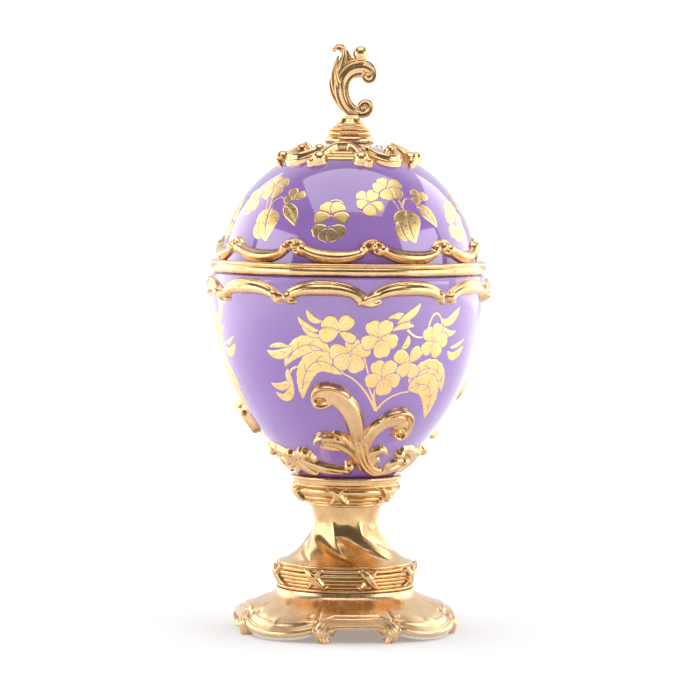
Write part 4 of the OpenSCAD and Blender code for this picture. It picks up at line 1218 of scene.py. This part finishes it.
def set_surface(name, r, z, material, cap=False):
    """A round surface of the set, from radii and heights in metres. cap closes its first ring."""
    cols = 72
    phi = (np.arange(cols) * 360 / cols)[None, :]
    faces = grid_faces(len(r), cols, False, True).tolist() + [list(range(cols))] * cap
    mesh = bpy.data.meshes.new(name)
    mesh.from_pydata(around(r[:, None], z[:, None], phi).reshape(-1, 3).tolist(), [], faces)
    mesh.materials.append(material)
    ob = bpy.data.objects.new(name, mesh)
    bpy.context.scene.collection.objects.link(ob)
    return ob


def floor():
    r = np.concatenate([[0.02], np.linspace(0.1, SET_R, 30)])
    ob = set_surface("pale_floor", r, 0 * r, paper_with_painted_shadow(), cap=True)


def softbox(name, where, aim, size, energy):
    data = bpy.data.lights.new(name, "AREA")
    data.shape = "RECTANGLE"
    data.size, data.size_y = size
    data.energy = energy
    ob = bpy.data.objects.new(name, data)
    ob.location = where
    ob.rotation_euler = (Vector(aim) - Vector(where)).to_track_quat("-Z", "Y").to_euler()
    ob.visible_camera = False
    bpy.context.scene.collection.objects.link(ob)


def studio_world():
    """The room's own light: bright behind the object, and dim in front where reflections are dark."""
    world = bpy.data.worlds.new("studio")
    world.use_nodes = True
    tree = world.node_tree
    back = tree.nodes["Background"]
    back.inputs["Color"].default_value = (1, 1, 1, 1)
    coord, split = tree.nodes.new("ShaderNodeTexCoord"), tree.nodes.new("ShaderNodeSeparateXYZ")
    ramp = tree.nodes.new("ShaderNodeMapRange")
    for socket, value in zip(ramp.inputs[1:5], (0.25, 0.60, 0.14, 0.95)):
        socket.default_value = value
    tree.links.new(coord.outputs["Generated"], split.inputs[0])
    tree.links.new(split.outputs["Y"], ramp.inputs[0])
    tree.links.new(ramp.outputs[0], back.inputs["Strength"])
    return world


def backdrop():
    """A plain white wall outside every camera, that neither lights the object nor shows in its gloss."""
    m = Mat("white_backdrop", Roughness=1.0, Emission_Color=(1, 1, 1, 1), Emission_Strength=1.0)
    m.set("Base Color", m.mix(m.noise(3, 2), (0.9, 0.9, 0.9), (0.88, 0.88, 0.88)))
    ob = set_surface("white_backdrop", np.array([SET_R, SET_R, 0.02]), np.array([-0.02, SET_H, SET_H]),
                     m.material)
    ob.visible_diffuse = ob.visible_glossy = ob.visible_transmission = ob.visible_shadow = False


def light_and_camera():
    scene = bpy.context.scene
    scene.world = studio_world()
    middle = (0, 0, 0.10)
    for side, hand, side_energy in ((-1, "left", 3.5), (1, "right", 3.8)):
        a, b = math.radians(72 * side), math.radians(122 * side)
        softbox("side_box_" + hand, (0.9 * math.sin(a), -0.9 * math.cos(a), 0.30), middle, (0.70, 0.55),
                side_energy)
        softbox("rim_box_" + hand, (0.85 * math.sin(b), -0.85 * math.cos(b), 0.34), middle, (0.75, 0.85), 3.4)
    softbox("top_box", (0, -0.15, 0.98), middle, (0.95, 0.85), 5.2)
    scene.view_settings.view_transform = "Standard"
    scene.view_settings.look = "None"
    # The view is 3.2 degrees down from 1.1 m, with a slight turn and roll
    distance, eye_z, pitch, roll = 1.1, 0.1515, math.radians(3.2), math.radians(0.6)
    focal_px, frame_px, turn_px = 3437, 700, 2.6
    cam = bpy.data.cameras.new("camera")
    cam.sensor_width = 36
    cam.lens = focal_px / frame_px * 36
    cam.clip_start = 0.05
    ob = bpy.data.objects.new("camera", cam)
    yaw = turn_px / focal_px
    upright = Matrix.Rotation(math.pi / 2 - pitch, 4, "X")
    turn = Matrix.Rotation(-yaw, 4, "Z") @ upright @ Matrix.Rotation(roll, 4, "Z")
    ob.matrix_world = Matrix.Translation((0, -distance, eye_z)) @ turn
    scene.collection.objects.link(ob)
    scene.camera = ob


floor()
backdrop()
light_and_camera()
